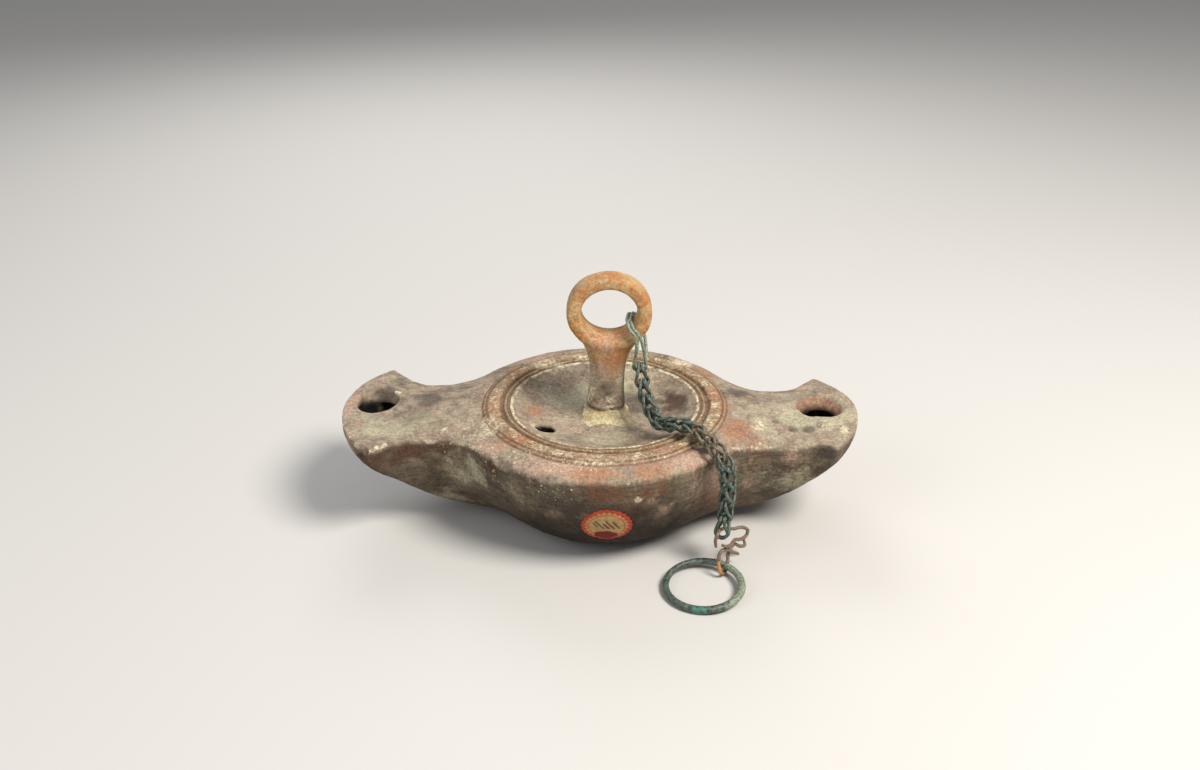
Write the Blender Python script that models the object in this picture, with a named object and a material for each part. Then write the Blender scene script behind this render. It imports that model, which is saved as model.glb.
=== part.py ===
"""Roman hanging lamp of fired clay with two nozzles, and its bronze chain.

The lamp is one hollow piece of fired clay: a round body with a sunken disc, a nozzle on
either side, and a stalk that ends in a ring. A bronze chain of folded links hangs from
that ring and ends in a loose finger ring.

Metres, +Z up. The origin is the centre of the flat base. +X points along the right
nozzle, and the ring handle is seen face on from -Y.
"""
import bisect
import math

import bmesh
import bpy
import numpy as np
from mathutils import Vector, geometry

# Round body
BASE_RADIUS = 0.0240
BODY_RADIUS = 0.0560
BODY_EDGE_HEIGHT = 0.0424
BODY_SHIFT = -0.0012
WALL = 0.0045
NOZZLE_TOP_WALL = 0.0065

# Sunken disc and the mouldings round it
DISC_RADIUS = 0.0363
DISC_FLOOR_HEIGHT = 0.0395
DISC_EDGE_HEIGHT = 0.0452
RIM_HEIGHT = 0.0460
RIM_DROP = 0.0009
RIM_CREST_RADIUS = 0.0425
GROOVE_RADII = (0.0377, 0.0401, 0.0480)
GROOVE_HALF_WIDTH = 0.0008
GROOVE_DEPTH = 0.0009
DISC_LIP = 0.0004
DISC_CURVE_POWER = 4.0
SHOULDER_POWER = 1.7

# Filling hole in the disc
FILL_HOLE_CENTRE = (-0.0229, -0.0144)
FILL_HOLE_RADIUS = 0.0037

# Nozzles: where each outline leaves the round body, its neck, its flared corner and its
# tip. The far side comes first where the two sides differ.
NECK_PULL = 0.0130
CORNER_PULL = 0.0100
LEFT_NOZZLE = {
    "side": -1.0,
    "leave_angles": (math.radians(45.0), math.radians(39.0)),
    "neck_reach": 0.0120,
    "neck_half_width": 0.0234,
    "neck_shift": 0.0006,
    "neck_height": 0.0405,
    "corner_setback": 0.0148,
    "corner_half_width": 0.0352,
    "corner_height": 0.0428,
    "flare_angle": math.radians(52.0),
    "tip": 0.1028,
    "tip_height": 0.0436,
    "hole_setback": 0.0132,
    "hole_shift": 0.0030,
    "hole_radii": (0.0077, 0.0090),
}
RIGHT_NOZZLE = {
    "side": 1.0,
    "leave_angles": (math.radians(36.0), math.radians(43.0)),
    "neck_reach": 0.0130,
    "neck_half_width": 0.0236,
    "neck_shift": -0.0022,
    "neck_height": 0.0390,
    "corner_setback": 0.0124,
    "corner_half_width": 0.0290,
    "corner_height": 0.0414,
    "flare_angle": math.radians(40.0),
    "tip": 0.0992,
    "tip_height": 0.0432,
    "hole_setback": 0.0142,
    "hole_shift": 0.0014,
    "hole_radii": (0.0088, 0.0092),
}
NOZZLE_CREST_HEIGHT = 0.0446
SPINDLE_LEAVE_ANGLE = math.radians(60.0)
SPINDLE_CORNER_PULL_IN = 0.0020
SPINDLE_NARROWING = 0.0010
FLARE_FADE_SHARES = (0.35, 0.92)
KEEL_POWER = 1.12
KEEL_FADE_SHARES = (1.05, 1.60)

# Stalk and ring handle, in one with the body
STALK_SINK = 0.0020
STALK_HEAD_COVER = 0.0020
STALK_RISE_SHARES = (0.037, 0.138, 0.338, 0.554, 0.738, 0.877, 1.0)
STALK_HALF_WIDTHS = (0.0086, 0.0078, 0.0071, 0.0068, 0.0073, 0.0088, 0.0112)
STALK_HALF_DEPTHS = (0.0076, 0.0070, 0.0067, 0.0066, 0.0068, 0.0071, 0.0074)
STALK_ROOT_HALF_WIDTH = 0.0098
STALK_ROOT_HALF_DEPTH = 0.0090
HANDLE_OFFSET = 0.0017
HANDLE_CENTRE_HEIGHT = 0.0842
HANDLE_OUTER_RADIUS = 0.0163
HANDLE_HOLE_RADIUS = 0.0105
HANDLE_HEIGHT_SHARE = 0.91
HANDLE_HALF_DEPTH_TOP = 0.0053
HANDLE_HALF_DEPTH_FOOT = 0.0076
STALK_SQUARE_POWER = 2.6
HANDLE_SQUARE_POWER = 4.0

# Bronze wire
WIRE = 0.0012
CLEARANCE = 0.0003
LINK_LENGTH = 0.0062
FOLD_SPACING = 0.0014
EYE_WIDTH = FOLD_SPACING + 2.0 * WIRE + 3.0 * CLEARANCE
EYE_HALF_GAP = WIRE / 2.0 + CLEARANCE / 2.0
FOLD_HALF_SPREAD = EYE_HALF_GAP + WIRE + 2.0 * CLEARANCE
FOLD_RISE = 0.0013
LOOP_EYE_POWER = 3

# Where the chain hangs. Its start below the ring handle, from the handle's centre, and
# the next place, as x, y and share of the drop to the disc that is left
CHAIN_START = (0.0117, -0.0050, -0.0202)
CHAIN_SLACK_PLACE = (0.0146, -0.0095)
CHAIN_SLACK_SHARE = 0.40
# Through the disc and over the rim, from the lamp's axis at the rim's height
RIM_ROUTE = (
    (0.0166, -0.0146, 0.0058),
    (0.0190, -0.0196, 0.0027),
    (0.0217, -0.0238, 0.0020),
    (0.0250, -0.0268, 0.0039),
    (0.0292, -0.0288, 0.0046),
    (0.0332, -0.0313, 0.0042),
    (0.0366, -0.0352, 0.0032),
)
# Over the body's edge, as angle, gap from the edge and rise above it
EDGE_ROUTE = (
    (math.radians(-44.64), -0.0002, 0.0050),
    (math.radians(-44.86), 0.0038, 0.0018),
    (math.radians(-44.54), 0.0059, -0.0024),
    (math.radians(-44.22), 0.0065, -0.0084),
)
# Down to the floor, as angle, gap from the body's edge and height
FLOOR_ROUTE = (
    (math.radians(-44.55), 0.0067, 0.0280),
    (math.radians(-45.51), 0.0071, 0.0220),
    (math.radians(-47.10), 0.0076, 0.0166),
    (math.radians(-48.40), 0.0085, 0.0120),
    (math.radians(-48.93), 0.0090, 0.0080),
)
CHAIN_TAIL = 0.0085
# The way the folds face, for the same points
CHAIN_FACING = (
    (0.0, -0.95, 0.30),
    (0.0, -0.90, 0.40),
    (-0.20, -0.80, 0.55),
    (-0.35, -0.70, 0.60),
    (-0.48, -0.60, 0.64),
    (-0.50, -0.55, 0.67),
    (-0.50, -0.55, 0.67),
    (-0.52, -0.55, 0.65),
    (-0.58, -0.58, 0.55),
    (-0.66, -0.60, 0.40),
    (-0.74, -0.64, 0.15),
    (-0.75, -0.66, 0.0),
    (-0.65, -0.76, 0.0),
    (-0.55, -0.83, 0.0),
    (-0.45, -0.89, 0.0),
    (-0.38, -0.92, 0.0),
    (-0.35, -0.94, 0.0),
    (-0.35, -0.94, 0.0),
)
# The long loop over the ring handle, between its front eye and its back eye, from the
# handle's centre
LOOP_ROUTE = (
    (0.0117, -0.0066, -0.0157),
    (0.0115, -0.0080, -0.0122),
    (0.0109, -0.0090, -0.0084),
    (0.0097, -0.0089, -0.0056),
    (0.0084, -0.0078, -0.0045),
    (0.0078, -0.0040, -0.0041),
    (0.0074, 0.0000, -0.0040),
    (0.0078, 0.0040, -0.0041),
    (0.0084, 0.0078, -0.0046),
    (0.0098, 0.0088, -0.0060),
    (0.0113, 0.0085, -0.0092),
    (0.0123, 0.0068, -0.0129),
    (0.0125, 0.0010, -0.0162),
)
# The last link, pulled open and bent, from the foot of the chain on the floor
BENT_LINK_ROUTE = (
    (-0.0020, -0.0022, 0.0120),
    (-0.0023, -0.0024, 0.0150),
    (-0.0015, -0.0015, 0.0172),
    (-0.0001, 0.0015, 0.0172),
    (0.0023, 0.0053, 0.0152),
    (0.0054, 0.0072, 0.0137),
    (0.0074, 0.0082, 0.0136),
    (0.0095, 0.0090, 0.0130),
    (0.0110, 0.0095, 0.0115),
    (0.0105, 0.0090, 0.0096),
    (0.0091, 0.0078, 0.0090),
    (0.0072, 0.0060, 0.0097),
    (0.0055, 0.0035, 0.0112),
    (0.0039, 0.0010, 0.0108),
    (0.0020, -0.0008, 0.0112),
    (0.0003, -0.0022, 0.0128),
)
# The hook that ties the bent link to the finger ring, from the same foot
HOOK_ROUTE = (
    (0.0073, 0.0040, 0.0046),
    (0.0048, 0.0025, 0.0066),
    (0.0025, 0.0005, 0.0088),
    (0.0006, -0.0015, 0.0100),
    (-0.0007, -0.0028, 0.0088),
    (-0.0009, -0.0040, 0.0060),
    (-0.0003, -0.0050, 0.0030),
    (0.0009, -0.0038, 0.0010),
    (0.0023, -0.0010, 0.0009),
    (0.0030, 0.0010, 0.0026),
    (0.0035, 0.0035, 0.0060),
    (0.0058, 0.0065, 0.0072),
    (0.0081, 0.0078, 0.0055),
    (0.0101, 0.0088, 0.0052),
    (0.0097, 0.0096, 0.0075),
)
# Loose finger ring, propped on the hook at one side, its centre from the same foot
FINGER_RING_SHIFT = (-0.0069, -0.0123)
FINGER_RING_RADIUS = 0.0138
FINGER_RING_WIRE = 0.0025
FINGER_RING_SWELL = 0.0005
FINGER_RING_SWELL_ANGLE = math.radians(-50.0)
HOOK_SIDE_ANGLE = math.radians(50.0)

# How finely the shapes are divided
BODY_ARC_STEPS = 12
NECK_STEPS = 4
FLARE_STEPS = 4
TIP_STEPS = 5
CHAMBER_ARC_STEPS = 9
CHAMBER_STEPS = (3, 2, 4)
HULL_STEPS = 8
CHAMBER_HULL_STEPS = 4
HOLE_STEPS = 16
RING_STEPS = 42
DISC_STEPS = 24
HANDLE_STEPS = 30
SECTION_STEPS = 10
FINGER_RING_STEPS = 26
CAP_STEPS = 3
ROUTE_STEPS = 24
LOOSE_WIRE_STEPS = 2
WIRE_SIDE_STEPS = 1
RING_SIDE_STEPS = 2
DISH_RING_SHARES = (0.45, 0.62, 0.76, 0.88, 1.0)
CEILING_RING_SHARES = (0.5, 0.8, 1.0)
NOZZLE_SPACING = 0.0062
CHAMBER_SPACING = 0.0090
OUTLINE_GAP = 0.0012
HOLE_GAP = 0.0010
WELD_DISTANCE = 1e-6

CLAY_COLOUR = (0.24, 0.18, 0.13)
BRONZE_COLOUR = (0.12, 0.18, 0.14)


def clear_scene():
    """Remove what the file opened with."""
    for item in list(bpy.data.objects):
        bpy.data.objects.remove(item, do_unlink=True)


def material(name, colour, roughness, metallic):
    """A plain surface with one colour."""
    result = bpy.data.materials.new(name)
    result.use_nodes = True
    shader = result.node_tree.nodes["Principled BSDF"]
    shader.inputs["Base Color"].default_value = (*colour, 1.0)
    shader.inputs["Roughness"].default_value = roughness
    shader.inputs["Metallic"].default_value = metallic
    return result


def fade(value, low, high):
    """0 below low, 1 above high and smooth between."""
    share = np.clip((value - low) / (high - low), 0.0, 1.0)
    return share * share * (3.0 - 2.0 * share)


def bezier(start, start_pull, end_pull, end, steps):
    """Points of a cubic curve, without the last one."""
    share = np.linspace(0.0, 1.0, steps, endpoint=False)[:, None]
    rest = 1.0 - share
    return (rest**3 * start + 3.0 * rest**2 * share * start_pull
            + 3.0 * rest * share**2 * end_pull + share**3 * end)


def nozzle_side(nozzle, half, flared, steps):
    """Outline of one half of a nozzle as x, y and edge height, from the body to the tip.

    Half is 0 for the far side and 1 for the near one, drawn as if it were the far one.
    With flared False the corner is pulled in, which gives the slim outline of the
    underside.
    """
    neck_steps, flare_steps, tip_steps = steps
    leave_angle = nozzle["leave_angles"][half]
    centre_x = nozzle["side"] * BODY_SHIFT
    neck = np.array([BODY_RADIUS + nozzle["neck_reach"], nozzle["neck_half_width"]])
    neck[1] += nozzle["neck_shift"] * (1.0 - 2.0 * half)
    tip = nozzle["tip"]
    corner = np.array([tip - nozzle["corner_setback"], nozzle["corner_half_width"]])
    flare = nozzle["flare_angle"]
    if not flared:
        leave_angle = SPINDLE_LEAVE_ANGLE
        centre_x = 0.0
        neck[1] -= SPINDLE_NARROWING
        corner = np.array([corner[0] - SPINDLE_CORNER_PULL_IN, neck[1]])
        flare = 0.0
    leave = BODY_RADIUS * np.array([math.cos(leave_angle), math.sin(leave_angle)])
    leave += (centre_x, 0.0)
    leave_direction = np.array([math.sin(leave_angle), -math.cos(leave_angle)])
    flare_direction = np.array([math.cos(flare), math.sin(flare)])
    along = np.array([1.0, 0.0])
    first = bezier(leave, leave + leave_direction * NECK_PULL,
                   neck - along * NECK_PULL, neck, neck_steps)
    second = bezier(neck, neck + along * CORNER_PULL,
                    corner - flare_direction * CORNER_PULL, corner, flare_steps)
    centre = (tip**2 - corner @ corner) / (2.0 * (tip - corner[0]))
    radius = tip - centre
    corner_angle = math.atan2(corner[1], corner[0] - centre)
    angles = corner_angle * np.linspace(1.0, 0.0, tip_steps + 1)
    third = np.column_stack([centre + radius * np.cos(angles), radius * np.sin(angles)])
    outline = np.vstack([first, second, third])
    shares = np.concatenate([np.linspace(0.0, 1.0, neck_steps, endpoint=False),
                             np.linspace(1.0, 2.0, flare_steps, endpoint=False),
                             np.linspace(2.0, 3.0, tip_steps + 1)])
    stops = (BODY_EDGE_HEIGHT, nozzle["neck_height"],
             nozzle["corner_height"], nozzle["tip_height"])
    heights = sum((high - low) * fade(shares, index, index + 1)
                  for index, (low, high) in enumerate(zip(stops, stops[1:])))
    return np.column_stack([outline, heights + BODY_EDGE_HEIGHT])


def half_outline(half, flared, arc_steps, steps):
    """Outline of the far or near half, from the right tip to the left tip."""
    right = nozzle_side(RIGHT_NOZZLE, half, flared, steps)
    left = nozzle_side(LEFT_NOZZLE, half, flared, steps) * (-1.0, 1.0, 1.0)
    centre_x = BODY_SHIFT if flared else 0.0
    start = math.atan2(right[0, 1], right[0, 0] - centre_x)
    end = math.atan2(left[0, 1], left[0, 0] - centre_x)
    angles = np.linspace(start, end, arc_steps + 1)[1:-1]
    arc = np.column_stack([centre_x + BODY_RADIUS * np.cos(angles),
                           BODY_RADIUS * np.sin(angles),
                           np.full(len(angles), BODY_EDGE_HEIGHT)])
    return np.vstack([right[::-1], arc, left])


def plan_outline(flared=True, arc_steps=BODY_ARC_STEPS,
                 steps=(NECK_STEPS, FLARE_STEPS, TIP_STEPS)):
    """Outline of the whole lamp from above, anticlockwise, as x, y and edge height."""
    far = half_outline(0, flared, arc_steps, steps)
    near = half_outline(1, flared, arc_steps, steps) * (1.0, -1.0, 1.0)
    return np.vstack([far, near[::-1][1:-1]])


def inset(outline, distance):
    """The outline moved inwards by a distance."""
    before = np.roll(outline, 1, axis=0)[:, :2]
    after = np.roll(outline, -1, axis=0)[:, :2]
    along = after - before
    along /= np.linalg.norm(along, axis=1)[:, None]
    inward = np.column_stack([-along[:, 1], along[:, 0]])
    result = outline.copy()
    result[:, :2] += inward * distance
    return result


def hull_rows(top, spindle, base_radius, base_height, row_count):
    """Rows of points from the upper edge down to the round base.

    Each rib of the round body is a quarter ellipse, and the ribs grow a little
    leaner towards the tips. The flare of the nozzles fades into the slim spindle on
    the way down.
    """
    reach = np.linalg.norm(spindle[:, :2], axis=1)[:, None]
    base = spindle[:, :2] / reach * base_radius
    power = 1.0 + (KEEL_POWER - 1.0) * fade(reach / BODY_RADIUS, *KEEL_FADE_SHARES)
    rows = []
    for step in range(row_count + 1):
        angle = 0.5 * math.pi * step / row_count
        height_share = 1.0 - math.sin(angle)
        out_share = math.cos(angle)**power
        flare_share = fade(height_share, *FLARE_FADE_SHARES)
        outer = spindle[:, :2] + (top[:, :2] - spindle[:, :2]) * flare_share
        plan = base + (outer - base) * out_share
        height = base_height + (top[:, 2] - base_height) * height_share
        rows.append(np.column_stack([plan, height]))
    return rows


def distance_to_outline(points, outline):
    """Distance of each point to the outline, and the edge height at the nearest place."""
    start = outline
    run = np.roll(outline, -1, axis=0) - start
    length_squared = np.sum(run[:, :2]**2, axis=1)
    offset = points[:, None, :2] - start[None, :, :2]
    share = np.clip(np.sum(offset * run[None, :, :2], axis=2) / length_squared, 0.0, 1.0)
    gap = np.linalg.norm(offset - share[:, :, None] * run[None, :, :2], axis=2)
    nearest = np.argmin(gap, axis=1)
    rows = np.arange(len(points))
    height = start[nearest, 2] + share[rows, nearest] * run[nearest, 2]
    return gap[rows, nearest], height


def disc_height(radius):
    """Height of the sunken disc and of the mouldings round it."""
    share = np.clip(radius / DISC_RADIUS, 0.0, 1.0)
    dish = DISC_FLOOR_HEIGHT + (DISC_EDGE_HEIGHT - DISC_FLOOR_HEIGHT) * share**DISC_CURVE_POWER
    beyond = (radius - RIM_CREST_RADIUS) / (GROOVE_RADII[-1] - RIM_CREST_RADIUS)
    rim = RIM_HEIGHT - RIM_DROP * np.clip(beyond, 0.0, 2.0)**2
    for groove in GROOVE_RADII:
        reach = np.abs(radius - groove) / GROOVE_HALF_WIDTH
        rim = rim - GROOVE_DEPTH * np.clip(1.0 - reach, 0.0, 1.0)
    return np.where(radius <= DISC_RADIUS, dish, rim)


def shoulder_radius():
    """Radius where the mouldings end and the shoulder begins."""
    return GROOVE_RADII[-1] + GROOVE_HALF_WIDTH


def top_height(points, outline):
    """Height of the lamp's upper side at each point."""
    radius = np.linalg.norm(points[:, :2], axis=1)
    start = shoulder_radius()
    gap, edge = distance_to_outline(points, outline)
    run = np.clip(radius - start, 0.0, None)
    share = run / np.maximum(run + gap, 1e-9)
    nozzle_share = fade(np.abs(points[:, 0]), start, BODY_RADIUS + WALL)
    crest = disc_height(np.array([start]))[0]
    crest = crest + (NOZZLE_CREST_HEIGHT - crest) * nozzle_share
    shoulder = crest - (crest - edge) * share**SHOULDER_POWER
    return np.where(radius <= start, disc_height(radius), shoulder)


def circle(centre, radii, steps):
    """Points of a circle or ellipse in plan."""
    angles = np.linspace(0.0, 2.0 * math.pi, steps, endpoint=False)
    return np.column_stack([centre[0] + radii[0] * np.cos(angles),
                            centre[1] + radii[1] * np.sin(angles)])


def hole_outlines():
    """The filling hole and the two wick holes in plan."""
    outlines = [circle(FILL_HOLE_CENTRE, (FILL_HOLE_RADIUS, FILL_HOLE_RADIUS), HOLE_STEPS)]
    for nozzle in (LEFT_NOZZLE, RIGHT_NOZZLE):
        centre_x = nozzle["side"] * (nozzle["tip"] - nozzle["hole_setback"])
        outlines.append(circle((centre_x, nozzle["hole_shift"]),
                               nozzle["hole_radii"], HOLE_STEPS))
    return outlines


def inside(points, polygon):
    """Whether each point lies inside a polygon."""
    result = np.zeros(len(points), dtype=bool)
    following = np.roll(polygon, -1, axis=0)
    for (x_a, y_a), (x_b, y_b) in zip(polygon[:, :2], following[:, :2]):
        crosses = (y_a > points[:, 1]) != (y_b > points[:, 1])
        if y_a == y_b:
            continue
        at = x_a + (points[:, 1] - y_a) * (x_b - x_a) / (y_b - y_a)
        result ^= crosses & (points[:, 0] < at)
    return result


def lid_triangles(outline, holes, rings, extra):
    """Triangles in plan that fill the outline, but not the holes.

    The rings are circles that become lines of the mesh, and the extra points steer it
    where there are none. Points of both that fall close to a hole or to the outline
    are left out.
    """
    points = [tuple(point) for point in outline[:, :2]]
    count = len(points)
    edges = [(index, (index + 1) % count) for index in range(count)]
    for hole in holes:
        first = len(points)
        points += [tuple(point) for point in hole]
        edges += [(first + index, first + (index + 1) % len(hole))
                  for index in range(len(hole))]
    loose = np.vstack([*rings, extra])
    clear = distance_to_outline(loose, outline)[0] > OUTLINE_GAP
    clear &= inside(loose, outline)
    for hole in holes:
        closed_hole = np.column_stack([hole, np.zeros(len(hole))])
        clear &= ~inside(loose, hole)
        clear &= distance_to_outline(loose, closed_hole)[0] > HOLE_GAP
    points += [tuple(point) for point in loose[clear]]
    found = geometry.delaunay_2d_cdt([Vector(point) for point in points],
                                     edges, [], 0, 1e-7)
    plan = np.array([tuple(point) for point in found[0]])
    faces = np.array([face for face in found[2]])
    centres = plan[faces].mean(axis=1)
    keep = inside(centres, outline)
    for hole in holes:
        keep &= ~inside(centres, hole)
    return plan, faces[keep]


def add_surface(mesh, points, faces):
    """Add points and faces to a bmesh."""
    verts = [mesh.verts.new(point) for point in points]
    for face in faces:
        mesh.faces.new([verts[index] for index in face])


def strip_faces(row_count, width):
    """Quads between rows of points that close on themselves."""
    faces = []
    for row in range(row_count - 1):
        for index in range(width):
            following = (index + 1) % width
            faces.append((row * width + index, (row + 1) * width + index,
                          (row + 1) * width + following, row * width + following))
    return faces


def rim_rings():
    """Circles that the upper side is divided by, from the disc to the shoulder."""
    radii = [DISC_RADIUS * share for share in DISH_RING_SHARES]
    radii.append(DISC_RADIUS + DISC_LIP)
    for groove in GROOVE_RADII:
        radii += [groove - GROOVE_HALF_WIDTH, groove, groove + GROOVE_HALF_WIDTH]
    radii.append(0.5 * (GROOVE_RADII[1] + GROOVE_RADII[2]))
    radii.append(0.5 * (shoulder_radius() + BODY_RADIUS))
    return [circle((0.0, 0.0), (radius, radius),
                   DISC_STEPS if radius < DISC_RADIUS else RING_STEPS)
            for radius in radii]


def nozzle_grid(spacing):
    """Loose points that divide the upper side of the nozzles."""
    columns = np.arange(BODY_RADIUS + spacing, RIGHT_NOZZLE["tip"], spacing)
    rows = np.arange(-4, 5) * spacing
    grid = np.array([(x, y) for x in columns for y in rows])
    return np.vstack([grid, grid * (-1.0, 1.0)])


def hollow_body():
    """The clay body as one closed skin: outside, chamber and the walls of the holes."""
    mesh = bmesh.new()
    outline = plan_outline()
    spindle = plan_outline(flared=False)
    holes = hole_outlines()
    width = len(outline)

    outer = hull_rows(outline, spindle, BASE_RADIUS, 0.0, HULL_STEPS)
    add_surface(mesh, np.vstack(outer), strip_faces(len(outer), width))
    add_surface(mesh, outer[-1], [range(width)])
    plan, faces = lid_triangles(outline, holes, rim_rings(),
                                nozzle_grid(NOZZLE_SPACING))
    top = np.column_stack([plan, top_height(plan, outline)])
    add_surface(mesh, top, faces)

    chamber_edge = inset(plan_outline(False, CHAMBER_ARC_STEPS, CHAMBER_STEPS), WALL)
    chamber_edge[:, 2] = ceiling_height(chamber_edge, outline)
    inner = hull_rows(chamber_edge, chamber_edge, BASE_RADIUS - 0.5 * WALL, WALL,
                      CHAMBER_HULL_STEPS)
    chamber_width = len(chamber_edge)
    add_surface(mesh, np.vstack(inner), strip_faces(len(inner), chamber_width))
    add_surface(mesh, inner[-1], [range(chamber_width)])
    radii = [DISC_RADIUS * share for share in CEILING_RING_SHARES]
    radii.append(shoulder_radius() - WALL)
    rings = [circle((0.0, 0.0), (radius, radius), DISC_STEPS) for radius in radii]
    ceiling_plan, ceiling_faces = lid_triangles(chamber_edge, holes, rings,
                                                nozzle_grid(CHAMBER_SPACING))
    ceiling = np.column_stack([ceiling_plan, ceiling_height(ceiling_plan, outline)])
    add_surface(mesh, ceiling, ceiling_faces)

    for hole in holes:
        upper = np.column_stack([hole, top_height(hole, outline)])
        lower = np.column_stack([hole, ceiling_height(hole, outline)])
        add_surface(mesh, np.vstack([upper, lower]), strip_faces(2, len(hole)))
    bmesh.ops.triangulate(mesh, faces=[face for face in mesh.faces if len(face.verts) > 4])
    return new_object("lamp_body", mesh)


def ceiling_height(points, outline):
    """Height of the chamber's ceiling, one wall below the upper side."""
    radius = np.linalg.norm(points[:, :2], axis=1)
    smooth = np.minimum(disc_height(np.minimum(radius, DISC_RADIUS)), DISC_EDGE_HEIGHT)
    upper = np.minimum(top_height(points, outline),
                       np.where(radius < DISC_RADIUS, smooth, BODY_EDGE_HEIGHT + WALL))
    nozzle_share = fade(np.abs(points[:, 0]), BODY_RADIUS, BODY_RADIUS + NECK_PULL)
    return upper - WALL - (NOZZLE_TOP_WALL - WALL) * nozzle_share


def new_object(name, mesh):
    """Weld a bmesh, turn its faces outwards and put it into the scene."""
    bmesh.ops.remove_doubles(mesh, verts=mesh.verts, dist=WELD_DISTANCE)
    bmesh.ops.recalc_face_normals(mesh, faces=mesh.faces)
    data = bpy.data.meshes.new(name)
    mesh.to_mesh(data)
    mesh.free()
    result = bpy.data.objects.new(name, data)
    bpy.context.collection.objects.link(result)
    return result


def soft_square(angle, square_power):
    """A direction on a rounded square, as two shares of its half sizes."""
    power = 2.0 / square_power
    across = math.copysign(abs(math.cos(angle))**power, math.cos(angle))
    up = math.copysign(abs(math.sin(angle))**power, math.sin(angle))
    return across, up


def stalk():
    """The stalk that rises from the disc, flaring into the ring at its head."""
    mesh = bmesh.new()
    rows = []
    height = (HANDLE_CENTRE_HEIGHT - HANDLE_HOLE_RADIUS * HANDLE_HEIGHT_SHARE
              - STALK_HEAD_COVER - DISC_FLOOR_HEIGHT)
    root = (-STALK_SINK / height, STALK_ROOT_HALF_WIDTH, STALK_ROOT_HALF_DEPTH)
    sections = zip(STALK_RISE_SHARES, STALK_HALF_WIDTHS, STALK_HALF_DEPTHS)
    for share, half_width, half_depth in (root, *sections):
        lean = HANDLE_OFFSET * max(share, 0.0)
        row = []
        for step in range(2 * SECTION_STEPS):
            across, back = soft_square(math.pi * step / SECTION_STEPS, STALK_SQUARE_POWER)
            row.append((lean + across * half_width, back * half_depth,
                        DISC_FLOOR_HEIGHT + share * height))
        rows.append(row)
    width = len(rows[0])
    add_surface(mesh, [point for row in rows for point in row],
                strip_faces(len(rows), width))
    add_surface(mesh, rows[0], [range(width)])
    add_surface(mesh, rows[-1], [range(width)])
    return new_object("stalk_shape", mesh)


def ring_handle():
    """The ring at the head of the stalk: wider than tall, and deepest at its foot."""
    mesh = bmesh.new()
    middle = 0.5 * (HANDLE_OUTER_RADIUS + HANDLE_HOLE_RADIUS)
    half_band = 0.5 * (HANDLE_OUTER_RADIUS - HANDLE_HOLE_RADIUS)
    points = []
    for step in range(HANDLE_STEPS):
        angle = 2.0 * math.pi * step / HANDLE_STEPS
        foot_share = 0.5 - 0.5 * math.sin(angle)
        half_depth = (HANDLE_HALF_DEPTH_TOP
                      + (HANDLE_HALF_DEPTH_FOOT - HANDLE_HALF_DEPTH_TOP) * foot_share)
        for turn in range(SECTION_STEPS):
            out, back = soft_square(2.0 * math.pi * turn / SECTION_STEPS,
                                    HANDLE_SQUARE_POWER)
            radius = middle + out * half_band
            rise = radius * HANDLE_HEIGHT_SHARE * math.sin(angle)
            points.append((HANDLE_OFFSET + radius * math.cos(angle), back * half_depth,
                           HANDLE_CENTRE_HEIGHT + rise))
    faces = strip_faces(HANDLE_STEPS + 1, SECTION_STEPS)
    count = len(points)
    faces = [tuple(index % count for index in face) for face in faces]
    add_surface(mesh, points, faces)
    return new_object("ring_handle_shape", mesh)


def lamp_body(clay):
    """The whole clay lamp as one solid."""
    body = hollow_body()
    for part in (stalk(), ring_handle()):
        part.hide_render = True
        part.display_type = "WIRE"
        join = body.modifiers.new(part.name, "BOOLEAN")
        join.operation = "UNION"
        join.solver = "EXACT"
        join.object = part
    body.data.materials.append(clay)
    return body


def smooth_points(route, per_span):
    """Points of a smooth curve through the points of a route."""
    knots = [Vector(point) for point in route]
    knots = [2.0 * knots[0] - knots[1], *knots, 2.0 * knots[-1] - knots[-2]]
    result = []
    for index in range(1, len(knots) - 2):
        before, start, end, after = knots[index - 1:index + 3]
        for step in range(per_span):
            share = step / per_span
            result.append(0.5 * (2.0 * start + (end - before) * share
                                 + (2.0 * before - 5.0 * start + 4.0 * end - after) * share**2
                                 + (3.0 * start - before - 3.0 * end + after) * share**3))
    result.append(knots[-2])
    return result


def wire(name, points, diameter, closed, metal, side_steps=WIRE_SIDE_STEPS, swell=None):
    """A bronze wire along some points."""
    curve = bpy.data.curves.new(name, "CURVE")
    curve.dimensions = "3D"
    curve.bevel_depth = diameter / 2.0
    curve.bevel_resolution = side_steps
    curve.use_fill_caps = not closed
    spline = curve.splines.new("POLY")
    spline.points.add(len(points) - 1)
    for index, place in enumerate(points):
        spline.points[index].co = (*place, 1.0)
        if swell:
            spline.points[index].radius = swell[index]
    spline.use_cyclic_u = closed
    result = bpy.data.objects.new(name, curve)
    bpy.context.collection.objects.link(result)
    curve.materials.append(metal)
    return result


def folded_wire(run):
    """Closed wire of a folded loop, as along, out and across for each point.

    The run goes from the front eye over the fold to the back eye, as along, out and
    width. Both eyes end in a half circle.
    """
    def cap(along, out, width, turn):
        angles = [math.pi * step / (CAP_STEPS + 1) for step in range(1, CAP_STEPS + 1)]
        return [(along + 0.5 * width * math.sin(angle), out,
                 turn * 0.5 * width * math.cos(angle)) for angle in angles]

    plus = [(along, out, 0.5 * width) for along, out, width in run]
    minus = [(along, out, -0.5 * width) for along, out, width in reversed(run)]
    return plus + cap(*run[-1], 1.0) + minus + cap(*run[0], -1.0)


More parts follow.
